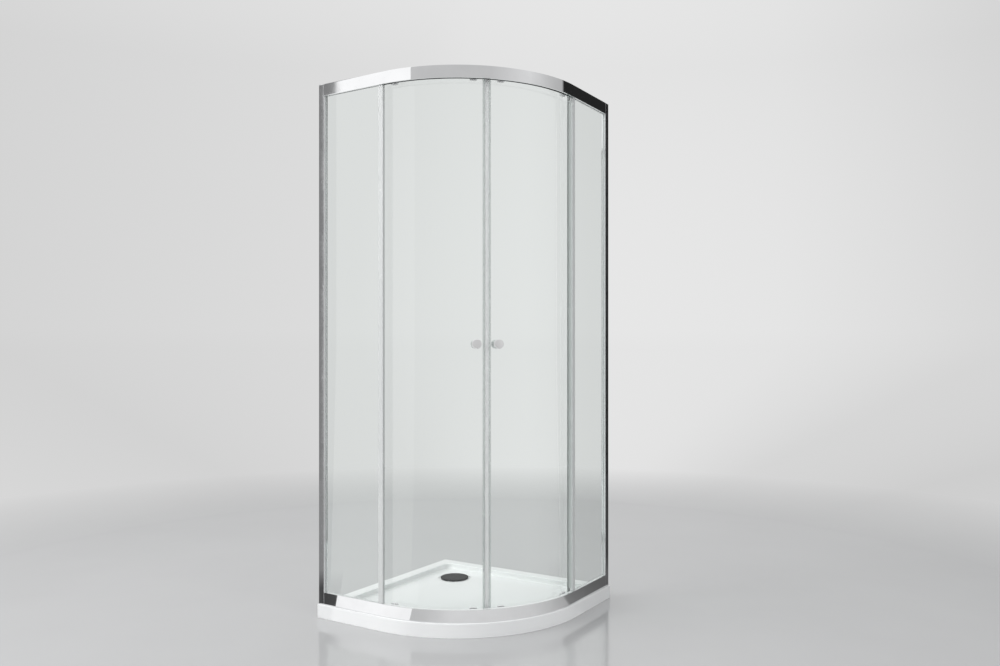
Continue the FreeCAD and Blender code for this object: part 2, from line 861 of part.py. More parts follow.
def side_parts():
    """What each side has, made for the left side."""
    parts = {
        "wall_profile": [wall_profile()],
        "frame_profile": [frame_profile()],
        "fixed_glass": [fixed_glass()],
        "glazing_gaskets": glazing_gaskets(),
        "edge_strip": [edge_strip()],
        "door_glass": [door_glass()],
        "magnet_seal": [magnet_seal()],
        "magnet_strip": [magnet_strip()],
        "trailing_seal": [trailing_seal()],
        "outer_knob": [knob(-1.0)],
        "inner_knob": [knob(1.0)],
        "knob_stud": [knob_stud()],
        "knob_washers": knob_washers(),
        "roller_axles": [roller_axle(end, angle) for end in ENDS for angle in ROLLERS.values()],
        "roller_caps": [roller_cap(end, angle) for end in ENDS for angle in ROLLERS.values()],
    }
    for end in ENDS:
        parts[f"{end}_roller_brackets"] = [roller_bracket(end, angle) for angle in ROLLERS.values()]
        for place, angle in ROLLERS.items():
            parts[f"{end}_{place}_wheel"] = [wheel(end, angle)]
    return parts


def main():
    nodes = standing_parts()
    for name, shapes in side_parts().items():
        nodes[f"left_{name}"] = shapes
        nodes[f"right_{name}"] = [mirrored(shape) for shape in shapes]
    os.makedirs("parts", exist_ok=True)
    for name, shapes in nodes.items():
        shape = shapes[0] if len(shapes) == 1 else Part.makeCompound(shapes)
        shape.exportStep(f"parts/{name}.step")


main()
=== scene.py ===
"""Looks of a quadrant shower enclosure: low tray, bent chrome rails, fixed panes, curved sliding doors.

Metres, in the part's own frame: the tray's square is centred on the origin, its square back corner is
at -X, +Y, the straight front side faces -Y and the straight right side faces +X. An "inset" is a
distance inwards from the tray's outer edge, square to it. Angles run along the arc from 0 at the
front tangent point to 90 at the right one. What stands twice is made on the front side and mirrored.
"""
import json
import math

import bmesh
import bpy
from mathutils import Matrix, Vector


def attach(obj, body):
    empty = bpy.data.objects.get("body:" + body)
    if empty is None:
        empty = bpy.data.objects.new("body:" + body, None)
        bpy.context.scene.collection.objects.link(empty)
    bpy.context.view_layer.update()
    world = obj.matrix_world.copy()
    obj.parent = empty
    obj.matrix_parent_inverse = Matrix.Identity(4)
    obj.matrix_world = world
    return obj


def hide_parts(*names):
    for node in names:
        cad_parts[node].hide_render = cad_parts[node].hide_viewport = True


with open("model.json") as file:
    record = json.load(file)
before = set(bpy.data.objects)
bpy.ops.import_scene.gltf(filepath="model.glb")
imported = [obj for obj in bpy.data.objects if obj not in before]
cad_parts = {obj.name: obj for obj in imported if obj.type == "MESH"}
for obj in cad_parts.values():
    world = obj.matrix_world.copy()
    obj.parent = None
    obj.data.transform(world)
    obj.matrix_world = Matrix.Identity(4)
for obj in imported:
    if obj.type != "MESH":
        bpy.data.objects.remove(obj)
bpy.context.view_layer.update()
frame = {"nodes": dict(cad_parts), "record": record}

MM = 0.001

# Sizes of the pieces that are modelled here, in millimetres and degrees
TRAY_SIDE = 800
CORNER_RADIUS = 500
TRAY_HEIGHT = 50
TRAY_WALL = 5
RIM_WIDTH = 50
RIM_ROUND = 3
BASIN_DEPTH = 20
BASIN_CORNER = 30
BASIN_FILLET = 9
FLAT_BAND = 0.5
DRAIN_IN = 172
RECESS_RADIUS = 66
RECESS_DEPTH = 3
RECESS_ROUND = 1
WASTE_HOLE = 45
BOSS_RADIUS = 72
BOSS_DEPTH = 4
COVER_RADIUS = 58
COVER_BOTTOM = 31.5
COVER_THICKNESS = 3
COVER_RINGS = (0.9, 0.5, 0.1)
LEG_RADIUS = 4
LEG_EDGE = 0.6
LEG_CIRCLE = 49
LEG_FOOT = 29
LEG_ANGLES = (30, 150, 270)

TOP = 1950
PROFILE_TOP = 1948
RAIL_OUTER = 7
RAIL_WALL = 1.6
RAIL_FACE_INNER = 8.6
RAIL_INNER = 26
RAIL_HEIGHT = 43
RAIL_LIP = 6
RAIL_EDGE = 0.35
RAIL_START = -374
TRACK_DROP = 32
CHANNEL_WALL_OUTER = 10.9
CHANNEL_OUTER = 12.5
CHANNEL_INNER = 22.5
FILLER_START = -103.5
FILLER_DROP = 0.2
FILLER_THICKNESS = 2.4
FILLER_PLAY = 0.2
FILLER_EDGE = 0.5
OPEN_LOW = TRAY_HEIGHT + RAIL_HEIGHT
OPEN_HIGH = TOP - RAIL_HEIGHT

WALL_END = -376
WALL_OUTER = 7
WALL_INNER = 29
WALL_LEG = 1.5
WALL_WEB = 2
FRAME_START = -397.7
FRAME_OUTER = 8.8
FRAME_INNER = 27.2
FRAME_SLOT_START = -390
PROFILE_EDGE = 0.4
LOCK_X = -393.85
LOCK_HEIGHTS = (210, 736, 1262, 1788)
LOCK_RADIUS = 2
WALL_HOLE_RADIUS = 3
WALL_HOLE_HEIGHTS = (150, 716, 1282, 1848)
DRILL_REACH = 3

GLASS = 5
GLASS_EDGE = 0.4
PANE_INSET = 15
PANE_START = -388
PANE_END = -106
PANE_LOW = 83.9
PANE_HIGH = 1915
DOOR_INSET = 43
DOOR_TAIL = 39.5
DOOR_LOW = 55.6
DOOR_HIGH = 1946
DOOR_MIDDLE_RADIUS = 454.5
SEAM_ANGLE = 45
SEAM_HALF_GAP = 0.15
NOSE = 6
GLASS_HOLE = 6
KNOB_HOLE = 5
HOLE_MARGIN = 9

STRIP_START = -124.5
STRIP_END = -104.5
STRIP_MARGIN = 0.5
STRIP_EDGE = 0.6
FIN = 1.2
FIN_EDGE = 0.5
FIN_GAP = 1
FIN_MARGIN = 3
FIXED_FIN_END = 28.5
DOOR_FIN_START = 27
TRAILING_START = -141
TRAILING_END = -124
MAGNET_SEAL_WIDTH = 14
SEAL_WALL = 1.5
SEAL_PLAY = 0.1
SEAL_EDGE = 0.4
NOSE_ROUND = 1.2

KNOB_ANGLE = 40.3
KNOB_HEIGHT = 1000
KNOB_STAND_OFF = 1.3
KNOB_WAIST = ((10.7, 0), (11, 0.3), (11, 1.6), (10.5, 2.1), (8.6, 3.4), (8, 4.2), (8, 8.4), (8.6, 9))
KNOB_RADIUS = 17
KNOB_LENGTH = 20
KNOB_HEAD = 9
KNOB_ROUND = 2.5
KNOB_CROWN = 0.8
CROWN_RINGS = (0.8, 0.6, 0.4, 0.2, 0.1)
STUD_HOLE = 3.05
STUD_DEPTH = 11.05

ROLLER_ANGLES = (3.5, 39)
ROLLER_HEIGHTS = (70, 1930)
SEAT_GAP = 0.3
BRACKET_WIDTH = 26
BRACKET_DEPTH = 9.5
BRACKET_HEIGHT = 38
BRACKET_NOSE = 44
BRACKET_CORNER = 5
BRACKET_EDGE = 0.4
BRACKET_BORDER = 1.2
BRACKET_STEP = (0.4, -0.25)
AXLE_HOLE = 4.05
SPIGOT_RADIUS = 5.8
CAP_RADIUS = 12
CAP_HEIGHT = 5.5
CAP_ROUND = 1
CAP_EDGE = 0.3
CAP_GROOVE = ((9, 0), (8.4, 0.3), (6.4, 0.3), (5.8, 0))
SOCKET_WIDTH = 8
SOCKET_DEPTH = 2.5

HALF = TRAY_SIDE / 2.0
ARC_X = HALF - CORNER_RADIUS
CENTRE = Vector((ARC_X, -ARC_X, 0.0)) * MM
DRAIN = Vector((DRAIN_IN - HALF, HALF - DRAIN_IN, 0.0)) * MM
TO_DRAIN = Matrix.Translation(DRAIN)
MIRROR = Matrix(((0, -1, 0, 0), (-1, 0, 0, 0), (0, 0, 1, 0), (0, 0, 0, 1)))
TINY = 1e-6
SHARP = math.radians(40.0)

# How many flats a full quarter of a round has, and a full turn
ARC_STEPS = 60
DOOR_STEPS = 90
LEG_STEPS = 180
NOSE_STEPS = 360
BRACKET_STEPS = 110
ROUND_STEPS = 5
RIM_STEPS = 10
FINE_SIDES = 96
SIDES = 64
GLASS_HOLE_SIDES = 48
AXLE_HOLE_SIDES = 40
HOLE_SIDES = 32


# Making and shaping meshes


def at(x, inset, z):
    """A point beside the straight front side, from millimetres."""
    return Vector((x, inset - HALF, z)) * MM


def mode(kind):
    bpy.ops.object.mode_set(mode=kind)


def in_scene(thing):
    bpy.context.scene.collection.objects.link(thing)
    return thing


def named(piece, name):
    piece.name = name
    piece.data.name = name
    return piece


def only(piece):
    bpy.ops.object.select_all(action="DESELECT")
    piece.select_set(True)
    bpy.context.view_layer.objects.active = piece


def start(name, primitive, **options):
    """Adds a primitive, with its place put in its mesh, and opens it for editing."""
    bpy.ops.object.select_all(action="DESELECT")
    primitive(**options)
    piece = named(bpy.context.active_object, name)
    bpy.ops.object.transform_apply()
    mode("EDIT")
    return piece


def pick(piece, kind, test=lambda part: True):
    """Selects the faces, edges or vertices that pass a test, and no others."""
    bpy.ops.mesh.select_mode(type=kind)
    bpy.ops.mesh.select_all(action="DESELECT")
    mesh = bmesh.from_edit_mesh(piece.data)
    for part in {"FACE": mesh.faces, "EDGE": mesh.edges, "VERT": mesh.verts}[kind]:
        if test(part):
            part.select_set(True)
    bmesh.update_edit_mesh(piece.data)


def middle(edge):
    return (edge.verts[0].co + edge.verts[1].co) / 2


def whole():
    bpy.ops.mesh.select_all(action="SELECT")


def push(x=0, y=0, z=0):
    """Extrudes what is selected, in millimetres."""
    bpy.ops.mesh.extrude_region_move(TRANSFORM_OT_translate={"value": Vector((x, y, z)) * MM})


def inset(thickness, depth=0):
    bpy.ops.mesh.inset(thickness=thickness * MM, depth=depth * MM)


def rounded(radius, hollow, way=1):
    """Turns a quarter round with insets: hollow rounds start along the wall, full ones end on the flat."""
    for step in range(ROUND_STEPS):
        first = math.radians(90 * step / ROUND_STEPS)
        last = math.radians(90 * (step + 1) / ROUND_STEPS)
        along = radius * (math.cos(first) - math.cos(last))
        across = radius * (math.sin(last) - math.sin(first))
        if hollow:
            inset(across, way * along)
        else:
            inset(along, way * across)


def corners(width, steps):
    """Rounds the selected corners of a flat sheet."""
    bpy.ops.mesh.bevel(offset=width * MM, segments=steps, affect="VERTICES")


def score(point, normal):
    """Cuts all the faces along a plane."""
    whole()
    bpy.ops.mesh.bisect(plane_co=point, plane_no=normal)


def weld():
    """Closes seams and turns every face outwards."""
    bpy.ops.mesh.select_mode(type="VERT")
    whole()
    bpy.ops.mesh.remove_doubles(threshold=TINY)
    bpy.ops.mesh.normals_make_consistent()


def clean(piece):
    weld()
    mode("OBJECT")
    return piece


def break_edges(piece, width, steps=2):
    """Breaks the sharp edges by a small round."""
    only(piece)
    bevel = piece.modifiers.new("edges", "BEVEL")
    bevel.width = width * MM
    bevel.segments = steps
    bevel.limit_method = "ANGLE"
    bevel.angle_limit = SHARP
    bpy.ops.object.modifier_apply(modifier=bevel.name)
    return piece


def shade(piece):
    """Shades curves as curves and flats as flats."""
    only(piece)
    bpy.ops.object.shade_smooth_by_angle(angle=SHARP)
    weights = piece.modifiers.new("normals", "WEIGHTED_NORMAL")
    weights.keep_sharp = True
    bpy.ops.object.modifier_apply(modifier=weights.name)


def cut_sheet(name, square_to, place, cells):
    """A flat sheet cut to a union of rectangles, ready to be extruded.

    Square to "x" its rectangles are (inset, inset, height, height), and square to "z" they are
    (x, x, inset, inset).
    """
    lows = [min(cell[0] for cell in cells), min(cell[2] for cell in cells)]
    highs = [max(cell[1] for cell in cells), max(cell[3] for cell in cells)]
    centre = [(low + high) / 2 for low, high in zip(lows, highs)]
    across = {"x": (1, 2), "z": (0, 1)}[square_to]
    spot = at(place, *centre) if square_to == "x" else at(*centre, place)
    turn = (0, math.pi / 2 if square_to == "x" else 0, 0)
    stretch = [1, 1, 1]
    for axis, low, high in zip(across, lows, highs):
        stretch[axis] = high - low
    piece = start(name, bpy.ops.mesh.primitive_plane_add, size=MM, location=spot, rotation=turn)
    bpy.ops.transform.resize(value=stretch, center_override=spot)
    shift = (0, HALF, 0)
    for side, axis in enumerate(across):
        normal = Vector((0, 0, 0))
        normal[axis] = 1
        for mark in sorted({mark for cell in cells for mark in cell[2 * side:2 * side + 2]})[1:-1]:
            score(normal * (mark - shift[axis]) * MM, normal)

    def outside(face):
        spot = face.calc_center_median() / MM
        first, second = (spot[axis] + shift[axis] for axis in across)
        return not any(cell[0] < first < cell[1] and cell[2] < second < cell[3] for cell in cells)

    pick(piece, "FACE", outside)
    bpy.ops.mesh.delete(type="FACE")
    whole()
    return piece


def round_the_arc(angle, steps=ARC_STEPS):
    """Spins the selected end along the arc, with steps to a quarter turn."""
    count = max(1, round(steps * angle / 90))
    bpy.ops.mesh.spin(steps=count, angle=-math.radians(angle), center=CENTRE, axis=(0, 0, 1))


def bent(name, first, cells, edge):
    """A section drawn along the straight front side, the arc and the straight right side."""
    piece = cut_sheet(name, "x", first, cells)
    push(x=ARC_X - first)
    round_the_arc(90)
    push(y=ARC_X - first)
    return break_edges(clean(piece), edge)


def upright(name, cells, low, high, edge):
    """A section drawn upwards."""
    piece = cut_sheet(name, "z", low, cells)
    push(z=high - low)
    return break_edges(clean(piece), edge)


def turned(name, profile, sides=SIDES, closed=False):
    """A turned piece about +Z: profile points are (radius, height), closed ones end where they start."""
    radius, height = profile[0]
    piece = start(name, bpy.ops.mesh.primitive_circle_add, vertices=sides, radius=radius * MM,
                  location=(0, 0, height * MM), fill_type="NOTHING" if closed else "NGON")
    pick(piece, "EDGE" if closed else "FACE")
    for next_radius, next_height in profile[1:]:
        push(z=next_height - height)
        scale = next_radius / radius
        bpy.ops.transform.resize(value=(scale, scale, 1), center_override=(0, 0, next_height * MM))
        radius, height = next_radius, next_height
    return clean(piece)


def arc_points(centre, radius, first, last, steps=ROUND_STEPS):
    """Points of a round in a profile, between two angles in degrees."""
    turns = [math.radians(first + (last - first) * step / steps) for step in range(steps + 1)]
    return [(centre[0] + radius * math.cos(turn), centre[1] + radius * math.sin(turn)) for turn in turns]


def along_arc(length):
    """The angle that a length takes up along the middle of the door's glass."""
    return math.degrees(length / DOOR_MIDDLE_RADIUS)


def turn_to(angle):
    turn = Matrix.Rotation(math.radians(angle), 4, "Z")
    return Matrix.Translation(CENTRE) @ turn @ Matrix.Translation(-CENTRE)


def raised(z):
    return Matrix.Translation((0, 0, z * MM))


def round_places(angles, heights):
    """Placements along the arc and up the door for what is made at the front tangent point, at z 0."""
    return [turn_to(angle) @ raised(z) for angle in angles for z in heights]


def on_glass(angle, depth, z):
    """Stands a turned piece square to the arc, its foot at an inset and its top towards the shower."""
    inwards = Matrix.Translation(at(ARC_X, depth, z)) @ Matrix.Rotation(-math.pi / 2, 4, "X")
    return turn_to(angle) @ inwards


def joined(name, pieces):
    only(pieces[0])
    for piece in pieces[1:]:
        piece.select_set(True)
    bpy.ops.object.join()
    return named(pieces[0], name)


def twin_of(piece, placement):
    """A copy with a mesh of its own, moved in its mesh."""
    twin = in_scene(piece.copy())
    twin.data = piece.data.copy()
    twin.data.transform(placement)
    return twin


def copied(piece, placements):
    """Copies of a piece, one for each placement, in place of the piece."""
    twins = [twin_of(piece, placement) for placement in placements]
    bpy.data.objects.remove(piece)
    return twins


def mirrored(piece, name):
    """The same piece on the right side, across the upright plane through the tray's diagonal."""
    twin = named(twin_of(piece, MIRROR), name)
    only(twin)
    mode("EDIT")
    whole()
    bpy.ops.mesh.flip_normals()
    mode("OBJECT")
    return twin


def drill(radius, first, last, sides=HOLE_SIDES):
    """A round cutter between two points."""
    span = last - first
    bit = turned("drill", [(radius, 0), (radius, span.length / MM)], sides)
    aim = Vector((0, 0, 1)).rotation_difference(span).to_matrix().to_4x4()
    bit.data.transform(Matrix.Translation(first) @ aim)
    return bit


def bored(piece, bits):
    """Cuts the bits out of a piece."""
    only(piece)
    for bit in bits:
        cut = piece.modifiers.new("hole", "BOOLEAN")
        cut.operation = "DIFFERENCE"
        cut.solver = "EXACT"
        cut.object = bit
        bpy.ops.object.modifier_apply(modifier=cut.name)
    for bit in bits:
        bpy.data.objects.remove(bit)
    return piece


# Shader nodes


class Nodes:
    """Short ways to add nodes to one tree, with the coordinates that its patterns read."""

    def __init__(self, tree, place):
        self.tree = tree
        self.place = place

    def link(self, source, socket):
        self.tree.links.new(source, socket)

    def add(self, kind, settings=None, **inputs):
        """A node: inputs, by name or as i and a number, are set to values or linked to sockets."""
        node = self.tree.nodes.new("ShaderNode" + kind)
        for key, value in (settings or {}).items():
            setattr(node, key, value)
        for key, value in inputs.items():
            socket = node.inputs[int(key[1:]) if key[1:].isdigit() else key.replace("_", " ")]
            if isinstance(value, bpy.types.NodeSocket):
                self.link(value, socket)
            elif socket.type == "RGBA":
                socket.default_value = (*value, 1.0)
            else:
                socket.default_value = value
        return node

    def math(self, operation, first, second=0.0, third=0.0):
        return self.add("Math", {"operation": operation}, i0=first, i1=second, i2=third).outputs[0]

    def times(self, first, second):
        return self.math("MULTIPLY", first, second)

    def most(self, first, second):
        return self.math("MAXIMUM", first, second)

    def vector(self, operation, **inputs):
        return self.add("VectorMath", {"operation": operation}, **inputs)

    def ramp(self, value, low, high, to_low=0.0, to_high=1.0):
        """Maps a range to another one and holds it there."""
        node = self.add("MapRange", i0=value, i1=low, i2=high, i3=to_low, i4=to_high)
        return node.outputs[0]

    def mix(self, amount, first, second):
        return self.add("Mix", {"data_type": "RGBA"}, i0=amount, i6=first, i7=second).outputs[2]

    def between(self, amount, first, second):
        return self.add("Mix", {"data_type": "FLOAT"}, i0=amount, i2=first, i3=second).outputs[0]

    def noise(self, scale, detail=3.0, roughness=0.5, place=None):
        return self.add("TexNoise", Vector=place or self.place, Scale=scale, Detail=detail,
                        Roughness=roughness).outputs["Fac"]

    def effect(self, kind, place=None, **values):
        """A shared node group with values of its own."""
        return self.add("Group", {"node_tree": kind}, i0=place or self.place, **values).outputs[0]


ORIGIN = (0.0, 0.0, 0.0)


def shader_group(name, result, recipe, **inputs):
    """A node group: the recipe turns its nodes and the sockets that come in into its result."""
    tree = bpy.data.node_groups.new(name, "ShaderNodeTree")
    for label, value in inputs.items():
        kind = "NodeSocketVector" if isinstance(value, tuple) else "NodeSocketFloat"
        tree.interface.new_socket(label, in_out="INPUT", socket_type=kind).default_value = value
    tree.interface.new_socket(result, in_out="OUTPUT", socket_type="NodeSocketFloat")
    given = tree.nodes.new("NodeGroupInput").outputs
    nodes = Nodes(tree, given[0])
    nodes.link(recipe(nodes, given), tree.nodes.new("NodeGroupOutput").inputs[0])
    return tree


def uneven_polish(nodes, given):
    """Uneven polish: broad soft patches with finer ones on them."""
    broad = nodes.noise(given["Size"], 3.0, 0.55)
    fine = nodes.noise(nodes.times(given["Size"], 7.0), 4.0, 0.7)
    both = nodes.math("MULTIPLY_ADD", fine, 0.35, nodes.times(broad, 0.65))
    return nodes.ramp(both, 0.35, 0.68, given["Least"], given["Most"])


def drawn_lines(nodes, given):
    """Fine lines of a drawn or rolled surface, long in one direction: coordinates come stretched."""
    coarse = nodes.noise(nodes.times(given["Fineness"], 0.18), 2.0)
    fine = nodes.noise(given["Fineness"], 3.0, 0.6)
    return nodes.math("MULTIPLY_ADD", fine, 0.5, nodes.times(coarse, 0.5))


def dried_drops(nodes, given):
    """Dried water drops: small rings of lime, scattered in patches."""
    cells = nodes.add("TexVoronoi", Vector=nodes.place, Scale=given["Drops"])
    chance = nodes.add("SeparateColor", Color=cells.outputs["Color"]).outputs
    edge = nodes.ramp(chance[0], 0.0, 1.0, 0.10, 0.34)
    inside = nodes.math("SUBTRACT", edge, cells.outputs["Distance"])
    ring = nodes.ramp(nodes.math("ABSOLUTE", inside), 0.0, 0.05, 1.0, 0.0)
    drop = nodes.most(ring, nodes.ramp(inside, 0.0, 0.05, 0.0, 0.3))
    patches = nodes.noise(nodes.times(given["Drops"], 0.06), 2.0)
    chosen = nodes.math("GREATER_THAN", chance[1], nodes.math("SUBTRACT", 1.0, given["Cover"]))
    return nodes.times(drop, nodes.times(chosen, nodes.ramp(patches, 0.42, 0.62)))


def wiping_marks(nodes, given):
    """Faint fine scratches from wiping: thin lines in changing directions."""
    bend = nodes.noise(nodes.times(given["Marks"], 0.35), 1.0).node
    swirl = nodes.vector("MULTIPLY_ADD", i0=bend.outputs["Color"], i1=(0.25, 0.25, 0.25), i2=nodes.place)
    cells = nodes.add("TexVoronoi", {"feature": "DISTANCE_TO_EDGE"}, Vector=swirl.outputs[0],
                      Scale=given["Marks"])
    line = nodes.ramp(cells.outputs["Distance"], 0.0, 0.012, 1.0, 0.0)
    broken = nodes.ramp(nodes.noise(nodes.times(given["Marks"], 1.7), 2.0), 0.52, 0.66)
    return nodes.times(line, broken)


HAZE = shader_group("uneven polish", "Roughness", uneven_polish, Coordinates=ORIGIN, Size=40.0,
                    Least=0.05, Most=0.15)
LINES = shader_group("drawn lines", "Height", drawn_lines, Coordinates=ORIGIN, Fineness=900.0)
DROPS = shader_group("dried drops", "Mask", dried_drops, Coordinates=ORIGIN, Drops=120.0, Cover=0.4)
MARKS = shader_group("wiping marks", "Mask", wiping_marks, Coordinates=ORIGIN, Marks=25.0)


class Finish(Nodes):
    """A material under construction: its Principled shader and what drives it."""

    def __init__(self, name, **constants):
        self.material = bpy.data.materials.new(name)
        self.material.use_nodes = True
        tree = self.material.node_tree
        tree.nodes.clear()
        super().__init__(tree, tree.nodes.new("ShaderNodeTexCoord").outputs["Object"])
        self.surface = self.add("OutputMaterial").inputs["Surface"]
        self.shader = self.add("BsdfPrincipled", **constants)
        self.link(self.shader.outputs["BSDF"], self.surface)

    def stretched(self, x, y, z):
        return self.add("Mapping", Vector=self.place, Scale=(x, y, z)).outputs[0]

    def drive(self, socket, value):
        self.link(value, self.shader.inputs[socket])

    def cloudy(self, size, low, first, second, place=None):
        """Two near colours in soft clouds."""
        return self.mix(self.ramp(self.noise(size, place=place), low, 1.0 - low), first, second)

    def colour(self, value):
        self.drive("Base Color", value)

    def stained(self, base, mask, amount, stain):
        self.colour(self.mix(self.times(mask, amount), base, stain))

    def polish(self, size, least, most, marks=0.0, dirt=None, dull=0.0):
        """Drives the roughness: uneven polish, duller where there are wiping marks and dirt."""
        rough = self.effect(HAZE, Size=size, Least=least, Most=most)
        if dirt:
            rough = self.math("MULTIPLY_ADD", self.most(self.effect(MARKS, Marks=marks), dirt), dull, rough)
        self.drive("Roughness", rough)

    def bump(self, height, strength, distance):
        """Adds a bump on top of the ones before it."""
        held = self.shader.inputs["Normal"]
        before = {"Normal": held.links[0].from_socket} if held.is_linked else {}
        node = self.add("Bump", Strength=strength, Distance=distance * MM, Height=height, **before)
        self.link(node.outputs["Normal"], held)

    def drawn(self, fineness, stretch, strength, distance):
        """Adds a bump of fine drawn lines."""
        self.bump(self.effect(LINES, self.stretched(*stretch), Fineness=fineness), strength, distance)

    def cover(self, amount, other):
        """Lays another shader over the surface, by an amount."""
        both = self.add("MixShader", i0=amount, i1=self.shader.outputs["BSDF"], i2=other.outputs[0])
        self.link(both.outputs[0], self.surface)


def dimmer(tone, share):
    return tuple(channel * share for channel in tone)


def chrome(name, tone, least, most, lines, fineness, metal=1.0):
    """Bright plated metal: uneven polish, lengthwise drawing lines, wiping marks and dried drops."""
    look = Finish(name, Metallic=metal)
    drops = look.effect(DROPS, Drops=210.0, Cover=0.16)
    look.polish(14.0, least, most, 30.0, drops, 0.12)
    look.stained(look.cloudy(9.0, 0.35, tone, dimmer(tone, 0.94)), drops, 0.35, (0.72, 0.72, 0.7))
    look.drawn(fineness, lines, 0.07, 0.02)
    look.bump(look.noise(55.0, 1.0), 0.02, 0.1)
    look.bump(drops, 0.25, 0.03)
    return look.material


def clear_glass():
    """Safety glass: nearly invisible faces with dried drops low down and faint wiping marks.

    Lamps reach what stands behind it.
    """
    look = Finish("clear glass", Transmission_Weight=1.0, IOR=1.5)
    height = look.add("SeparateXYZ", Vector=look.place).outputs["Z"]
    low = look.ramp(height, 0.1, 1.4, 1.0, 0.25)
    spots = look.times(look.effect(DROPS, Drops=170.0, Cover=0.22), low)
    film = look.noise(3.5, 4.0, place=look.stretched(1.0, 1.0, 0.25))
    dull = look.math("MULTIPLY_ADD", spots, 0.11, look.ramp(film, 0.45, 0.75, 0.0, 0.015))
    look.drive("Roughness", look.math("MULTIPLY_ADD", look.effect(MARKS, Marks=9.0), 0.02, dull))
    look.colour(look.mix(spots, (0.955, 0.985, 0.972), (0.80, 0.81, 0.80)))
    look.bump(look.noise(2.2, 2.0), 0.02, 0.4)
    look.bump(spots, 0.12, 0.02)
    shadow_ray = look.add("LightPath").outputs["Is Shadow Ray"]
    look.cover(shadow_ray, look.add("BsdfTransparent", Color=(0.93, 0.96, 0.95)))
    return look.material


def glass_edge():
    """The ground and polished edge, where the glass shows its green."""
    look = Finish("glass edge", Transmission_Weight=0.4, IOR=1.5)
    bands = look.noise(8.0, place=look.stretched(6.0, 6.0, 1.0))
    look.colour(look.mix(bands, (0.16, 0.35, 0.29), (0.21, 0.41, 0.35)))
    look.polish(18.0, 0.08, 0.16)
    look.drawn(800.0, (1.0, 1.0, 0.02), 0.06, 0.02)
    return look.material


def soft_strip(name, pale, deep, see_through):
    """Extruded soft plastic: milky, glossy, with fine lengthwise die lines and a little dust."""
    look = Finish(name, Transmission_Weight=see_through, IOR=1.47, Subsurface_Weight=0.15,
                  Subsurface_Radius=(0.01, 0.01, 0.01))
    look.colour(look.cloudy(12.0, 0.3, pale, deep, look.stretched(8.0, 8.0, 0.6)))
    look.polish(30.0, 0.12, 0.28)
    look.drawn(1300.0, ALONG_Z, 0.08, 0.03)
    return look.material


def tray_acrylic():
    """White sanitary acrylic: high gloss with a faint ripple, wiping marks, lime near the waste."""
    look = Finish("tray acrylic", Coat_Weight=0.5, Coat_Roughness=0.04, Specular_IOR_Level=0.5)
    white = look.cloudy(5.0, 0.3, (0.87, 0.875, 0.875), (0.84, 0.846, 0.848))
    centred = look.add("Mapping", Vector=look.place, Location=(-DRAIN.x, -DRAIN.y, -0.03)).outputs[0]
    distance = look.vector("LENGTH", i0=centred).outputs["Value"]
    drops = look.effect(DROPS, Drops=150.0, Cover=0.3)
    lime = look.times(drops, look.ramp(distance, 0.06, 0.2, 1.0, 0.0))
    look.stained(white, lime, 0.5, (0.76, 0.75, 0.72))
    look.polish(9.0, 0.08, 0.17, 22.0, lime, 0.15)
    look.bump(look.noise(45.0, 2.0), 0.05, 0.15)
    look.bump(lime, 0.2, 0.03)
    return look.material


def drain_shade_black():
    """Near-black cover that reflects very little: its black is painted shade, standing in for the dark of the
    drain, with polish, fine swirls and a dusting of dried drops.
    """
    look = Finish("drain shade black", Specular_IOR_Level=0.02)
    drops = look.effect(DROPS, Drops=260.0, Cover=0.3)
    look.stained((0.006, 0.006, 0.007), drops, 0.06, (0.3, 0.3, 0.3))
    look.polish(60.0, 0.06, 0.14, 90.0, drops, 0.2)
    look.bump(look.noise(300.0, 2.0), 0.03, 0.02)
    return look.material


def moulded(name, pale, deep, least, most, **constants):
    """Moulded plastic or rubber with a fine skin."""
    look = Finish(name, **constants)
    look.colour(look.cloudy(60.0, 0.3, pale, deep))
    look.polish(80.0, least, most)
    look.bump(look.noise(420.0, 4.0), 0.15, 0.05)
    return look.material


def turned_steel(name, tone, least, most):
    """Stainless steel with the marks of turning and handling."""
    look = Finish(name, Metallic=1.0)
    look.colour(look.cloudy(120.0, 0.35, tone, dimmer(tone, 0.82)))
    look.polish(90.0, least, most)
    look.drawn(1500.0, (1.0, 1.0, 4.0), 0.12, 0.03)
    return look.material


def chipboard():
    """Pressed chips of three tones with small gaps between them."""
    look = Finish("chipboard")
    chips = look.add("TexVoronoi", Vector=look.stretched(1.0, 1.6, 3.0), Scale=140.0)
    tone = look.add("SeparateColor", Color=chips.outputs["Color"]).outputs[0]
    wood = look.mix(tone, (0.40, 0.27, 0.15), (0.68, 0.52, 0.34))
    dark = look.ramp(chips.outputs["Distance"], 0.35, 0.6, 0.0, 0.5)
    look.colour(look.mix(dark, wood, (0.16, 0.10, 0.06)))
    look.polish(50.0, 0.6, 0.85)
    look.bump(chips.outputs["Distance"], 0.4, 0.3)
    return look.material


# How lines are drawn out: along an upright, not at all, or round a level bent piece
ALONG_Z = (1.0, 1.0, 0.01)
NO_STRETCH = (1.0, 1.0, 1.0)
FLAT_LINES = (0.05, 0.05, 1.0)
BRIGHT = (0.86, 0.865, 0.875)

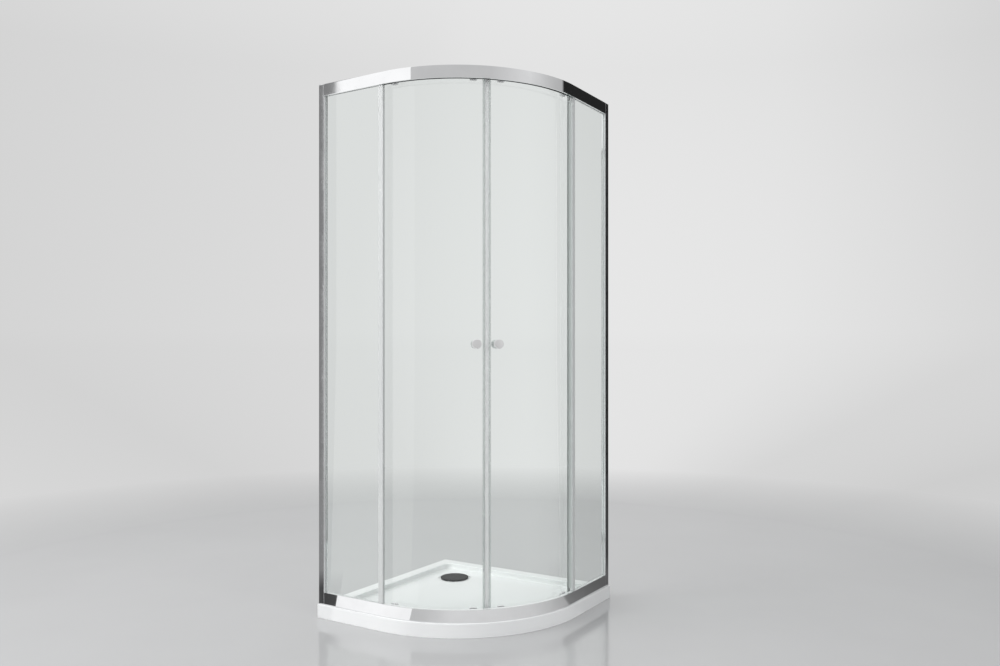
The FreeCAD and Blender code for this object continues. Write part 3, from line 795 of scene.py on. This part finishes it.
finishes = {
    "tray_acrylic": tray_acrylic(),
    "base_board": chipboard(),
    "pad_rubber": moulded("black rubber", (0.025, 0.025, 0.026), (0.045, 0.045, 0.046), 0.55, 0.8),
    "waste_steel": turned_steel("waste steel", (0.62, 0.62, 0.63), 0.16, 0.34),
    "waste_plastic": moulded("waste plastic", (0.78, 0.78, 0.76), (0.70, 0.70, 0.68), 0.3, 0.5),
    "cover_black": drain_shade_black(),
    "rail_chrome": chrome("rail chrome", BRIGHT, 0.02, 0.05, FLAT_LINES, 700.0),
    "wall_profile_chrome": chrome("profile chrome", (0.82, 0.825, 0.835), 0.03, 0.07, ALONG_Z, 900.0),
    "bracket_zinc": turned_steel("zinc casting", (0.46, 0.46, 0.47), 0.35, 0.6),
    "bracket_chrome": chrome("satin chrome", (0.86, 0.865, 0.87), 0.18, 0.3, NO_STRETCH, 500.0, metal=0.5),
    "screw_steel": turned_steel("screw steel", (0.58, 0.58, 0.58), 0.2, 0.36),
    "cap_plastic": moulded("cap plastic", (0.46, 0.46, 0.47), (0.40, 0.40, 0.41), 0.25, 0.4),
    "roller_cap_chrome": chrome("roller cap chrome", (0.80, 0.805, 0.815), 0.05, 0.12, NO_STRETCH, 500.0),
    "clear_glass": clear_glass(),
    "gasket_grey": moulded("gasket rubber", (0.82, 0.83, 0.83), (0.77, 0.78, 0.78), 0.28, 0.42),
    "seal_strip": soft_strip("seal plastic", (0.72, 0.735, 0.73), (0.69, 0.705, 0.70), 0.15),
    "magnet_seal_clear": soft_strip("magnet seal plastic", (0.93, 0.95, 0.945), (0.90, 0.92, 0.915), 0.85),
    "magnet_dark": moulded("magnet", (0.07, 0.065, 0.06), (0.10, 0.095, 0.09), 0.5, 0.7),
    "knob_chrome": chrome("knob chrome", (0.94, 0.94, 0.945), 0.05, 0.13, NO_STRETCH, 500.0),
    "washer_clear": moulded("washer plastic", (0.80, 0.82, 0.82), (0.74, 0.76, 0.76), 0.2, 0.35,
                            Transmission_Weight=0.4),
    "wheel_nylon": moulded("wheel nylon", (0.82, 0.82, 0.79), (0.74, 0.74, 0.70), 0.3, 0.5),
}
EDGE_GREEN = glass_edge()
SEAL_NOSE = soft_strip("seal nose plastic", (0.91, 0.925, 0.92), (0.87, 0.89, 0.885), 0.1)
UPRIGHT_CHROME = chrome("upright chrome", BRIGHT, 0.02, 0.05, ALONG_Z, 700.0)

for part in frame["record"]["subparts"]:
    frame["nodes"][part["node"]].material_slots[0].material = finishes[part["material_slot"]]


def dress(piece, body, slot, *nodes):
    """Shades a finished piece, gives it its material and its body, and hides the CAD parts that it stands
    for.
    """
    shade(piece)
    if not piece.data.materials:
        piece.data.materials.append(finishes[slot])
    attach(piece, body)
    if nodes:
        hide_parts(*nodes)


def dress_both(piece, name, part, slot, door=False, finish=None):
    """Dresses a left piece and its mirror image on the right, in the slot's finish or one of their own."""
    if finish:
        piece.data.materials.append(finish)
    twin = mirrored(piece, f"right_{name}")
    piece.name = f"left_{name}"
    for side, made in (("left", piece), ("right", twin)):
        dress(made, f"{side}_door" if door else "enclosure", slot, f"{side}_{part}")


# Shower tray


def quadrant_plate(name, side, z, arc, corner):
    """A flat square with one large rounded corner, and the other three rounded by a little or sharp."""
    piece = start(name, bpy.ops.mesh.primitive_plane_add, size=side * MM, location=(0, 0, z * MM))
    if corner:
        pick(piece, "VERT", lambda vert: not (vert.co.x > 0 and vert.co.y < 0))
        corners(corner, 8)
    far = side * MM / 2 - TINY
    pick(piece, "VERT", lambda vert: vert.co.x > far and vert.co.y < -far)
    corners(arc, ARC_STEPS)
    pick(piece, "FACE")
    return piece


def shower_tray():
    """Skirt and rim from the outline, basin and waste recess from their own, joined by flat rings."""
    floor = TRAY_HEIGHT - BASIN_DEPTH
    skirt = quadrant_plate("tray_skirt", TRAY_SIDE, 0, CORNER_RADIUS, 0)
    push(z=TRAY_HEIGHT - RIM_ROUND)
    rounded(RIM_ROUND, hollow=False)
    inset(FLAT_BAND)
    bpy.ops.mesh.delete(type="ONLY_FACE")
    pick(skirt, "FACE", lambda face: abs(face.calc_center_median().z) < TINY)
    inset(TRAY_WALL)
    push(z=TRAY_HEIGHT - TRAY_WALL)
    inset(RIM_WIDTH - 2 * TRAY_WALL)
    push(z=-BASIN_DEPTH)
    bpy.ops.mesh.delete(type="ONLY_FACE")
    mode("OBJECT")

    lip = RIM_WIDTH - RIM_ROUND - FLAT_BAND
    corner = BASIN_CORNER + RIM_ROUND + FLAT_BAND
    basin = quadrant_plate("tray_basin", TRAY_SIDE - 2 * lip, TRAY_HEIGHT, CORNER_RADIUS - lip, corner)
    inset(FLAT_BAND)
    rounded(RIM_ROUND, hollow=True, way=-1)
    push(z=BASIN_FILLET + RIM_ROUND - BASIN_DEPTH)
    rounded(BASIN_FILLET, hollow=False, way=-1)
    inset(FLAT_BAND)
    bpy.ops.mesh.delete(type="ONLY_FACE")
    mode("OBJECT")

    low = floor - TRAY_WALL - BOSS_DEPTH
    brim = RECESS_RADIUS + RECESS_ROUND
    lip_round = arc_points((brim, floor - RECESS_ROUND), RECESS_ROUND, 90, 180)
    recess = turned("tray_recess", [(brim + FLAT_BAND, floor)] + lip_round + [
        (RECESS_RADIUS, floor - RECESS_DEPTH), (WASTE_HOLE, floor - RECESS_DEPTH), (WASTE_HOLE, low),
        (BOSS_RADIUS, low), (BOSS_RADIUS, floor - TRAY_WALL)], FINE_SIDES, closed=True)
    recess.data.transform(TO_DRAIN)

    tray = joined("shower_tray_shell", [skirt, basin, recess])
    mode("EDIT")
    for z in (TRAY_HEIGHT, floor, floor - TRAY_WALL):
        pick(tray, "EDGE", lambda edge: edge.is_boundary and abs(middle(edge).z - z * MM) < TINY)
        bpy.ops.mesh.fill()
    return clean(tray)


def drain_cover():
    """A disc with a rounded edge, very slightly crowned, on three short legs."""
    edge = COVER_THICKNESS / 2
    rim = arc_points((COVER_RADIUS - edge, COVER_BOTTOM + edge), edge, -90, 90, RIM_STEPS)
    crown = [(COVER_RADIUS * share, COVER_BOTTOM + COVER_THICKNESS) for share in COVER_RINGS]
    disc = turned("drain_disc", rim + crown, FINE_SIDES)
    leg = turned("drain_leg", [(LEG_RADIUS - LEG_EDGE, LEG_FOOT), (LEG_RADIUS, LEG_FOOT + LEG_EDGE),
                               (LEG_RADIUS, COVER_BOTTOM + edge)], HOLE_SIDES)
    leg.data.transform(Matrix.Translation(Vector((LEG_CIRCLE, 0, 0)) * MM))
    legs = copied(leg, [Matrix.Rotation(math.radians(angle), 4, "Z") for angle in LEG_ANGLES])
    cover = joined("drain_cover_disc", [disc] + legs)
    cover.data.transform(TO_DRAIN)
    return cover


dress(shower_tray(), "enclosure", "tray_acrylic", "shower_tray")
# The cover's near-black finish is painted shade: the dark of the drain.
dress(drain_cover(), "drain_cover", "cover_black", "drain_cover")


# Rails and the profiles at their ends


def rail(name, end, drop_way):
    """One bent extrusion with face plate, outer web and lip, track, and the channel of the fixed glass."""
    cells = []
    for outer, inner, drop_0, drop_1 in (
            (RAIL_OUTER, RAIL_FACE_INNER, 0, RAIL_HEIGHT),
            (RAIL_OUTER, RAIL_INNER, 0, RAIL_WALL),
            (RAIL_INNER - RAIL_WALL, RAIL_INNER, 0, RAIL_LIP),
            (RAIL_OUTER, RAIL_INNER, TRACK_DROP, TRACK_DROP + RAIL_WALL),
            (CHANNEL_WALL_OUTER, CHANNEL_OUTER, TRACK_DROP, RAIL_HEIGHT),
            (CHANNEL_INNER, CHANNEL_INNER + RAIL_WALL, TRACK_DROP, RAIL_HEIGHT),
            (RAIL_OUTER, CHANNEL_OUTER, RAIL_HEIGHT - RAIL_WALL, RAIL_HEIGHT)):
        cells.append((outer, inner, *sorted((end + drop_way * drop_0, end + drop_way * drop_1))))
    return bent(name, RAIL_START, cells, RAIL_EDGE)


def slot_filler():
    """A pale strip that closes the bottom rail's glass channel along the arc."""
    top = OPEN_LOW - FILLER_DROP
    cells = [(CHANNEL_OUTER + FILLER_PLAY, CHANNEL_INNER - FILLER_PLAY, top - FILLER_THICKNESS, top)]
    piece = bent("bottom_slot_filler", FILLER_START, cells, FILLER_EDGE)
    piece.data.materials.append(SEAL_NOSE)
    return piece


def wall_profile():
    """A channel with its back to the wall, bored for the wall screws and the lock screws."""
    cells = [
        (-HALF, WALL_WEB - HALF, WALL_OUTER, WALL_INNER),
        (-HALF, WALL_END, WALL_OUTER, WALL_OUTER + WALL_LEG),
        (-HALF, WALL_END, WALL_INNER - WALL_LEG, WALL_INNER),
    ]
    piece = upright("wall_profile", cells, TRAY_HEIGHT, PROFILE_TOP, PROFILE_EDGE)
    centre = (WALL_OUTER + WALL_INNER) / 2
    wall_bit = drill(WALL_HOLE_RADIUS, at(-HALF - DRILL_REACH, centre, 0),
                     at(DRILL_REACH + WALL_WEB - HALF, centre, 0))
    lock_bit = drill(LOCK_RADIUS, at(LOCK_X, WALL_INNER - DRILL_REACH, 0),
                     at(LOCK_X, WALL_INNER + DRILL_REACH, 0))
    return bored(piece, copied(wall_bit, map(raised, WALL_HOLE_HEIGHTS))
                 + copied(lock_bit, map(raised, LOCK_HEIGHTS)))


def frame_profile():
    """A channel that slides in the wall profile and holds the fixed glass."""
    cells = [
        (FRAME_START, RAIL_START, FRAME_OUTER, CHANNEL_OUTER),
        (FRAME_START, FRAME_SLOT_START, FRAME_OUTER, FRAME_INNER),
        (FRAME_START, RAIL_START, CHANNEL_INNER, FRAME_INNER),
    ]
    return upright("frame_profile", cells, TRAY_HEIGHT, PROFILE_TOP, PROFILE_EDGE)


dress(rail("top_rail_bent", TOP, -1), "enclosure", "rail_chrome", "top_rail")
dress(rail("bottom_rail_bent", TRAY_HEIGHT, 1), "enclosure", "rail_chrome", "bottom_rail")
dress(slot_filler(), "enclosure", "seal_strip")
dress_both(wall_profile(), "wall_channel", "wall_profile", "wall_profile_chrome")
dress_both(frame_profile(), "frame_upright", "frame_profile", "rail_chrome", finish=UPRIGHT_CHROME)


# Glass


def green_edges(piece, is_edge):
    """Gives the narrow faces the green of the cut glass."""
    piece.data.materials.append(finishes["clear_glass"])
    piece.data.materials.append(EDGE_GREEN)
    for face in piece.data.polygons:
        if is_edge(face.center, face.normal):
            face.material_index = 1
    return piece


def fixed_pane():
    cells = [(PANE_START, PANE_END, PANE_INSET, PANE_INSET + GLASS)]
    piece = upright("fixed_pane", cells, PANE_LOW, PANE_HIGH, GLASS_EDGE)
    return green_edges(piece, lambda centre, normal: abs(normal.y) < 0.99)


def door_pane():
    """Straight tail, then the arc, with holes for the rollers and the knobs."""
    cells = [(DOOR_INSET, DOOR_INSET + GLASS, DOOR_LOW, DOOR_HIGH)]
    piece = cut_sheet("door_pane", "x", ARC_X - DOOR_TAIL, cells)
    push(x=DOOR_TAIL)
    round_the_arc(SEAM_ANGLE - along_arc(SEAM_HALF_GAP) - along_arc(NOSE), DOOR_STEPS)
    for z in (*ROLLER_HEIGHTS, KNOB_HEIGHT):
        for level in (z - HOLE_MARGIN, z + HOLE_MARGIN):
            score((0, 0, level * MM), (0, 0, 1))
    break_edges(clean(piece), GLASS_EDGE)
    bits = []
    for radius, angles, heights in ((GLASS_HOLE, ROLLER_ANGLES, ROLLER_HEIGHTS),
                                    (KNOB_HOLE, (KNOB_ANGLE,), (KNOB_HEIGHT,))):
        bit = drill(radius, at(ARC_X, DOOR_INSET - GLASS, 0), at(ARC_X, DOOR_INSET + 2 * GLASS, 0),
                    GLASS_HOLE_SIDES)
        bits += copied(bit, round_places(angles, heights))
    bored(piece, bits)

    def is_edge(centre, normal):
        across = Vector((normal.x, normal.y, 0))
        outwards = Vector((0, -1, 0))
        if centre.x >= CENTRE.x:
            outwards = centre - CENTRE
            outwards.z = 0
        return abs(across.dot(outwards.normalized())) < 0.9

    return green_edges(piece, is_edge)


dress_both(fixed_pane(), "fixed_pane", "fixed_glass", "clear_glass")
dress_both(door_pane(), "door_pane", "door_glass", "clear_glass", door=True)


# Strips and seals


def finned_channel(name, first, last, web, glass, low, high, fin):
    """A channel over a pane's edge, with a fin: x of its ends and of its web, and the glass's inset."""
    outer, inner = glass - SEAL_WALL, glass + GLASS + SEAL_WALL
    cells = [(first, last, outer, glass), (*web, outer, inner), (first, last, glass + GLASS, inner)]
    body = upright("channel", cells, low, high, STRIP_EDGE)
    blade = upright("fin", [fin], OPEN_LOW + FIN_MARGIN, OPEN_HIGH - FIN_MARGIN, FIN_EDGE)
    return joined(name, [body, blade])


def edge_strip():
    """The channel on the free edge of the fixed glass, its fin towards the door."""
    fin = (STRIP_START, STRIP_START + FIN, PANE_INSET + GLASS + SEAL_WALL / 2, FIXED_FIN_END)
    return finned_channel("edge_strip", STRIP_START, STRIP_END, (PANE_END, STRIP_END), PANE_INSET,
                          OPEN_LOW + STRIP_MARGIN, OPEN_HIGH - STRIP_MARGIN, fin)


def trailing_seal():
    """The same kind of channel on the door's trailing edge, its fin outwards."""
    fin_end = STRIP_START - FIN_GAP
    fin = (fin_end - FIN, fin_end, DOOR_FIN_START, DOOR_INSET - SEAL_WALL / 2)
    web = (TRAILING_START, TRAILING_START + SEAL_WALL)
    return finned_channel("trailing_seal", TRAILING_START, TRAILING_END, web, DOOR_INSET,
                          DOOR_LOW, DOOR_HIGH, fin)


def magnet_seal():
    """A curved channel over the closing edge: clear legs, and a milky nose rounded over the magnet."""
    outer = DOOR_INSET - SEAL_WALL
    inner = DOOR_INSET + GLASS + SEAL_WALL
    nose = along_arc(NOSE - SEAL_PLAY)
    leg = along_arc(MAGNET_SEAL_WIDTH) - nose
    nose_at = SEAM_ANGLE - along_arc(SEAM_HALF_GAP) - nose
    legs = [(outer, DOOR_INSET - SEAL_PLAY), (DOOR_INSET + GLASS + SEAL_PLAY, inner)]
    made = []
    for insets, angle, steps, edge, edge_steps, place, material in (
            (legs, leg, LEG_STEPS, SEAL_EDGE, 2, nose_at - leg, finishes["magnet_seal_clear"]),
            ([(outer, inner)], nose, NOSE_STEPS, NOSE_ROUND, 3, nose_at, SEAL_NOSE)):
        piece = cut_sheet("seal", "x", ARC_X, [(*pair, DOOR_LOW, DOOR_HIGH) for pair in insets])
        round_the_arc(angle, steps)
        break_edges(clean(piece), edge, edge_steps)
        piece.data.transform(turn_to(place))
        piece.data.materials.append(material)
        made.append(piece)
    return joined("magnet_seal", made)


dress_both(edge_strip(), "fixed_edge_strip", "edge_strip", "seal_strip")
dress_both(trailing_seal(), "door_trailing_seal", "trailing_seal", "seal_strip", door=True)
dress_both(magnet_seal(), "door_magnet_seal", "magnet_seal", "magnet_seal_clear", door=True)


# Knobs, roller brackets and roller caps


def knob(way):
    """Foot, waist and rounded head, with the blind hole of the stud: way is -1 outside and +1 inside."""
    rim = KNOB_RADIUS - KNOB_ROUND
    profile = [(STUD_HOLE, STUD_DEPTH), (STUD_HOLE, 0), *KNOB_WAIST]
    profile += arc_points((rim, KNOB_HEAD + KNOB_ROUND), KNOB_ROUND, -90, 0)
    profile += arc_points((rim, KNOB_LENGTH - KNOB_CROWN - KNOB_ROUND), KNOB_ROUND, 0, 90)
    profile += [(rim * share, KNOB_LENGTH - KNOB_CROWN * share ** 2) for share in CROWN_RINGS]
    piece = turned("knob", profile)
    face = DOOR_INSET if way < 0 else DOOR_INSET + GLASS
    place = on_glass(KNOB_ANGLE, face + way * KNOB_STAND_OFF, KNOB_HEIGHT)
    if way < 0:
        place = place @ Matrix.Rotation(math.pi, 4, "X")
    piece.data.transform(place)
    return piece


def roller_bracket(low):
    """A curved block with rounded corners, and a fine step round its face."""
    half_turn = math.degrees(BRACKET_WIDTH / 2 / (CORNER_RADIUS - DOOR_INSET))
    back = DOOR_INSET - SEAT_GAP
    outer = back - BRACKET_DEPTH
    piece = cut_sheet("roller_bracket", "x", ARC_X, [(outer, back, low, low + BRACKET_HEIGHT)])
    round_the_arc(2 * half_turn, BRACKET_STEPS)
    weld()

    def is_corner(edge):
        first, last = (vert.co for vert in edge.verts)
        spot = middle(edge) - CENTRE
        from_middle = math.degrees(math.atan2(spot.x, -spot.y)) - half_turn
        return abs(from_middle) > half_turn - 0.01 and abs(first.z - last.z) < TINY

    pick(piece, "EDGE", is_corner)
    bpy.ops.mesh.bevel(offset=BRACKET_CORNER * MM, segments=6, affect="EDGES")
    radius = (CORNER_RADIUS - outer) * MM - TINY * 50
    pick(piece, "FACE", lambda face: all((vert.co - CENTRE).to_2d().length > radius for vert in face.verts))
    inset(BRACKET_BORDER)
    inset(*BRACKET_STEP)
    mode("OBJECT")
    piece.data.transform(turn_to(-half_turn))
    return break_edges(piece, BRACKET_EDGE)


def roller_brackets(low, height):
    """Both brackets of one end, bored for their axles."""
    brackets = copied(roller_bracket(low), round_places(ROLLER_ANGLES, (0,)))
    bit = drill(AXLE_HOLE, at(ARC_X, DOOR_INSET - 2 * BRACKET_DEPTH, 0),
                at(ARC_X, DOOR_INSET + BRACKET_DEPTH, 0), AXLE_HOLE_SIDES)
    for bracket, placed_bit in zip(brackets, copied(bit, round_places(ROLLER_ANGLES, (height,)))):
        bored(bracket, [placed_bit])
    return joined("roller_brackets", brackets)


def roller_caps():
    """Turned caps with a rounded rim and a hexagon socket, four to a door."""
    foot = DOOR_INSET + SEAT_GAP
    face = foot + GLASS
    back = face + CAP_HEIGHT
    profile = [(AXLE_HOLE, foot), (SPIGOT_RADIUS, foot), (SPIGOT_RADIUS, face), (CAP_RADIUS - CAP_EDGE, face),
               (CAP_RADIUS, face + CAP_EDGE)]
    profile += arc_points((CAP_RADIUS - CAP_ROUND, back - CAP_ROUND), CAP_ROUND, 0, 90)
    profile += [(radius, back - depth) for radius, depth in CAP_GROOVE] + [(AXLE_HOLE, back)]
    cap = turned("roller_cap", profile, closed=True)
    corner = SOCKET_WIDTH / math.sqrt(3)
    bored(cap, [turned("socket", [(corner, back - SOCKET_DEPTH), (corner, back + 1)], 6)])
    cap.data.transform(on_glass(0, 0, 0))
    return joined("roller_caps", copied(cap, round_places(ROLLER_ANGLES, ROLLER_HEIGHTS)))


dress_both(knob(-1), "outer_knob_turned", "outer_knob", "knob_chrome", door=True)
dress_both(knob(1), "inner_knob_turned", "inner_knob", "knob_chrome", door=True)
for level, foot, height in (("upper", TOP - BRACKET_NOSE, ROLLER_HEIGHTS[1]),
                            ("lower", TRAY_HEIGHT + BRACKET_NOSE - BRACKET_HEIGHT, ROLLER_HEIGHTS[0])):
    dress_both(roller_brackets(foot, height), f"{level}_bracket_pair", f"{level}_roller_brackets",
               "bracket_chrome", door=True)
dress_both(roller_caps(), "roller_cap_set", "roller_caps", "roller_cap_chrome", door=True)


# Floor, studio light and camera

GLOW_DIRECTION = (-0.2246, 0.9730, 0.0523)
WORLD_LIGHT = 0.64
FLOOR_RADIUS = 300.0
FLOOR_DROP = 0.0004
NEAR_REACH = (0.95, 1.25)
MELT_REACH = (2.4, 4.0)
# Share of the floor's lit colour that its painted reflection replaces in polished faces
FLOOR_PAINTED_REFLECTION = 0.9


def by_direction(nodes, tones, panels):
    """Grey tones by direction: pairs of angle round the object and tone, paler overhead, dimmer below.

    Panels stand in front of the tones with sharp edges: first angle, last angle, tone and highest point.
    """
    unit = nodes.vector("NORMALIZE", i0=nodes.place).outputs[0]
    x, y, z = nodes.add("SeparateXYZ", Vector=unit).outputs
    turn = nodes.math("ARCTAN2", y, x)
    scale = nodes.add("ValToRGB", Fac=nodes.ramp(turn, -math.pi, math.pi))
    marks = scale.color_ramp.elements
    for index, (angle, tone) in enumerate(tones):
        place = angle / 360.0 + 0.5
        mark = marks[index] if index < 2 else marks.new(place)
        mark.position = place
        mark.color = (tone, tone, tone, 1.0)
    shown = scale.outputs["Color"]
    soft = math.radians(0.12)
    for first, last, tone, highest in panels:
        first, last = math.radians(first), math.radians(last)
        beside = nodes.times(nodes.ramp(turn, first - soft, first),
                             nodes.ramp(turn, last, last + soft, 1.0, 0.0))
        panel = nodes.times(beside, nodes.ramp(z, highest, highest + 0.02, tone, 0.0))
        shown = nodes.most(shown, panel)
    towards = nodes.vector("DOT_PRODUCT", i0=unit, i1=GLOW_DIRECTION).outputs["Value"]
    glow = nodes.ramp(towards, 0.88, 1.0, 0.0, 0.10)
    level = nodes.math("MULTIPLY_ADD", shown, nodes.ramp(z, -0.14, 0.02, 0.86, 1.0), glow)
    return nodes.math("ADD", level, nodes.ramp(z, 0.3, 0.85, 0.0, 0.3))


def surround_group(name, tones, *panels):
    return shader_group(name, "Tone", lambda nodes, given: by_direction(nodes, tones, panels),
                        Direction=ORIGIN)


SURROUND = surround_group("studio surround", (
    (-180, 0.7), (180, 0.7), (-120, 0.74), (-40, 0.72), (40, 0.68), (92, 0.6), (104, 0.68),
    (124, 0.74), (152, 0.66)))
PANELS = surround_group("studio panels", (
    (-180, 0.55), (180, 0.55), (-136, 0.24), (-120, 0.26), (-110, 0.64), (-66, 0.6),
    (-31, 0.59), (6, 0.78), (34, 0.55), (44, 0.52), (46.3, 0.02), (74, 0.02), (86, 0.5),
    (124, 0.72), (152, 0.6)), (-132.55, -101.3, 1.14, 1.0), (46.3, 47.3, 1.1, 0.24))
# Painted reflection: tones by direction that the floor beside the object glows with in polished faces, dark
# towards two sides and bright on one panel
NEAR_FLOOR_PAINTED_REFLECTION = surround_group("near floor painted reflection", (
    (-180, 0.6), (180, 0.6), (-150, 0.5), (-134, 0.02), (-115, 0.03), (-106, 0.58),
    (-84, 0.64), (-66, 0.78), (-39, 0.78), (-10, 0.72), (16, 0.5), (23, 0.46), (24.5, 0.22),
    (48, 0.1), (62, 0.1), (90, 0.5)), (-129.9, -93.0, 1.14, 1.0))


def mirror_rays(nodes, path):
    """Rays that a polished face throws back, without those that go through glass."""
    straight = nodes.math("SUBTRACT", 1.0, path["Is Transmission Ray"])
    return nodes.times(path["Is Glossy Ray"], straight)


def studio_world():
    """Eyes see the surround, polished pieces reflect the panels, and everything gets one even light."""
    world = bpy.data.worlds.new("studio")
    bpy.context.scene.world = world
    world.use_nodes = True
    world.node_tree.nodes.clear()
    nodes = Nodes(world.node_tree, None)
    nodes.place = nodes.add("TexCoord").outputs["Generated"]
    path = nodes.add("LightPath").outputs
    seen = nodes.most(path["Is Camera Ray"], path["Is Transmission Ray"])
    light = nodes.add("Background", Color=(0.97, 0.985, 1.0), Strength=WORLD_LIGHT)
    for kind, shown in ((SURROUND, seen), (PANELS, mirror_rays(nodes, path))):
        pale = nodes.add("Background", Color=(1.0, 1.0, 1.0), Strength=nodes.effect(kind))
        light = nodes.add("MixShader", i0=shown, i1=light.outputs[0], i2=pale.outputs[0])
    nodes.link(light.outputs[0], nodes.add("OutputWorld").inputs["Surface"])


def studio_floor():
    """Pale floor with a soft sheen, which melts into the surround further out. In polished faces it shows a
    painted reflection: there it glows with tones by direction, from the group beside the object and from the
    panels further out, in place of most of its lit colour.
    """
    floor = start("studio_floor", bpy.ops.mesh.primitive_circle_add, vertices=128, radius=FLOOR_RADIUS,
                  fill_type="NGON", location=(0, 0, -FLOOR_DROP))
    mode("OBJECT")
    look = Finish("studio floor", IOR=1.9)
    look.colour(look.cloudy(1.5, 0.3, (0.44, 0.44, 0.443), (0.46, 0.46, 0.463)))
    look.polish(2.5, 0.1, 0.15)
    distance = look.vector("LENGTH", i0=look.place).outputs["Value"]
    flat = look.vector("MULTIPLY", i0=look.place, i1=(1.0, 1.0, 0.0)).outputs[0]
    path = look.add("LightPath").outputs
    thrown_back = mirror_rays(look, path)
    eye, far, near = (look.effect(kind, flat) for kind in (SURROUND, PANELS, NEAR_FLOOR_PAINTED_REFLECTION))
    painted_reflection = look.between(look.ramp(distance, *NEAR_REACH), near, far)
    tone = look.between(thrown_back, eye, painted_reflection)
    seen = look.most(path["Is Glossy Ray"], path["Is Transmission Ray"])
    seen = look.most(path["Is Camera Ray"], seen)
    melted = look.times(look.ramp(distance, *MELT_REACH), seen)
    # Painted reflection: in polished faces the floor glows with these tones over most of its lit colour
    shown = look.most(melted, look.times(thrown_back, FLOOR_PAINTED_REFLECTION))
    look.cover(shown, look.add("Emission", Strength=tone))
    floor.data.materials.append(look.material)


def soft_lamp(name, spot, target, width, height, power):
    """A lamp that lights but shows nowhere, neither straight nor in a polished or clear face."""
    data = bpy.data.lights.new(name, "AREA")
    data.shape = "RECTANGLE"
    data.size = width
    data.size_y = height
    data.energy = power
    lamp = in_scene(bpy.data.objects.new(name, data))
    lamp.location = spot
    lamp.visible_camera = lamp.visible_glossy = lamp.visible_transmission = False
    lamp.rotation_euler = (Vector(target) - Vector(spot)).to_track_quat("-Z", "Y").to_euler()


studio_world()
studio_floor()
AIM = (0.0, 0.0, 0.9)
soft_lamp("key_softbox", (-2.6, -3.2, 3.0), AIM, 2.6, 2.6, 120.0)
soft_lamp("fill_softbox", (3.8, -1.6, 2.4), AIM, 2.4, 2.4, 42.0)
soft_lamp("low_softbox", (-1.3, -3.6, 0.9), (-0.2, -0.4, 0.1), 1.6, 1.0, 16.0)
soft_lamp("top_softbox", (0.2, 0.2, 4.4), (0.0, 0.0, 0.0), 3.0, 3.0, 45.0)

SENSOR_WIDTH = 36.0
FOCAL_PIXELS = 873.67
PICTURE_WIDTH = 1000.0
PICTURE_HEIGHT = 666.0
HORIZON_ROW = 348.4
CAMERA_YAW = math.radians(31.96)
CAMERA_SPOT = (1.85917, -2.75978, 0.98464)

camera_data = bpy.data.cameras.new("camera")
camera_data.sensor_width = SENSOR_WIDTH
camera_data.lens = SENSOR_WIDTH * FOCAL_PIXELS / PICTURE_WIDTH
camera_data.shift_y = (HORIZON_ROW - PICTURE_HEIGHT / 2.0) / PICTURE_WIDTH
camera = in_scene(bpy.data.objects.new("camera", camera_data))
camera.location = CAMERA_SPOT
camera.rotation_euler = (math.pi / 2.0, 0.0, CAMERA_YAW)
bpy.context.scene.camera = camera
bpy.context.scene.view_settings.view_transform = "Standard"

bpy.ops.object.select_all(action="DESELECT")
bpy.context.view_layer.update()
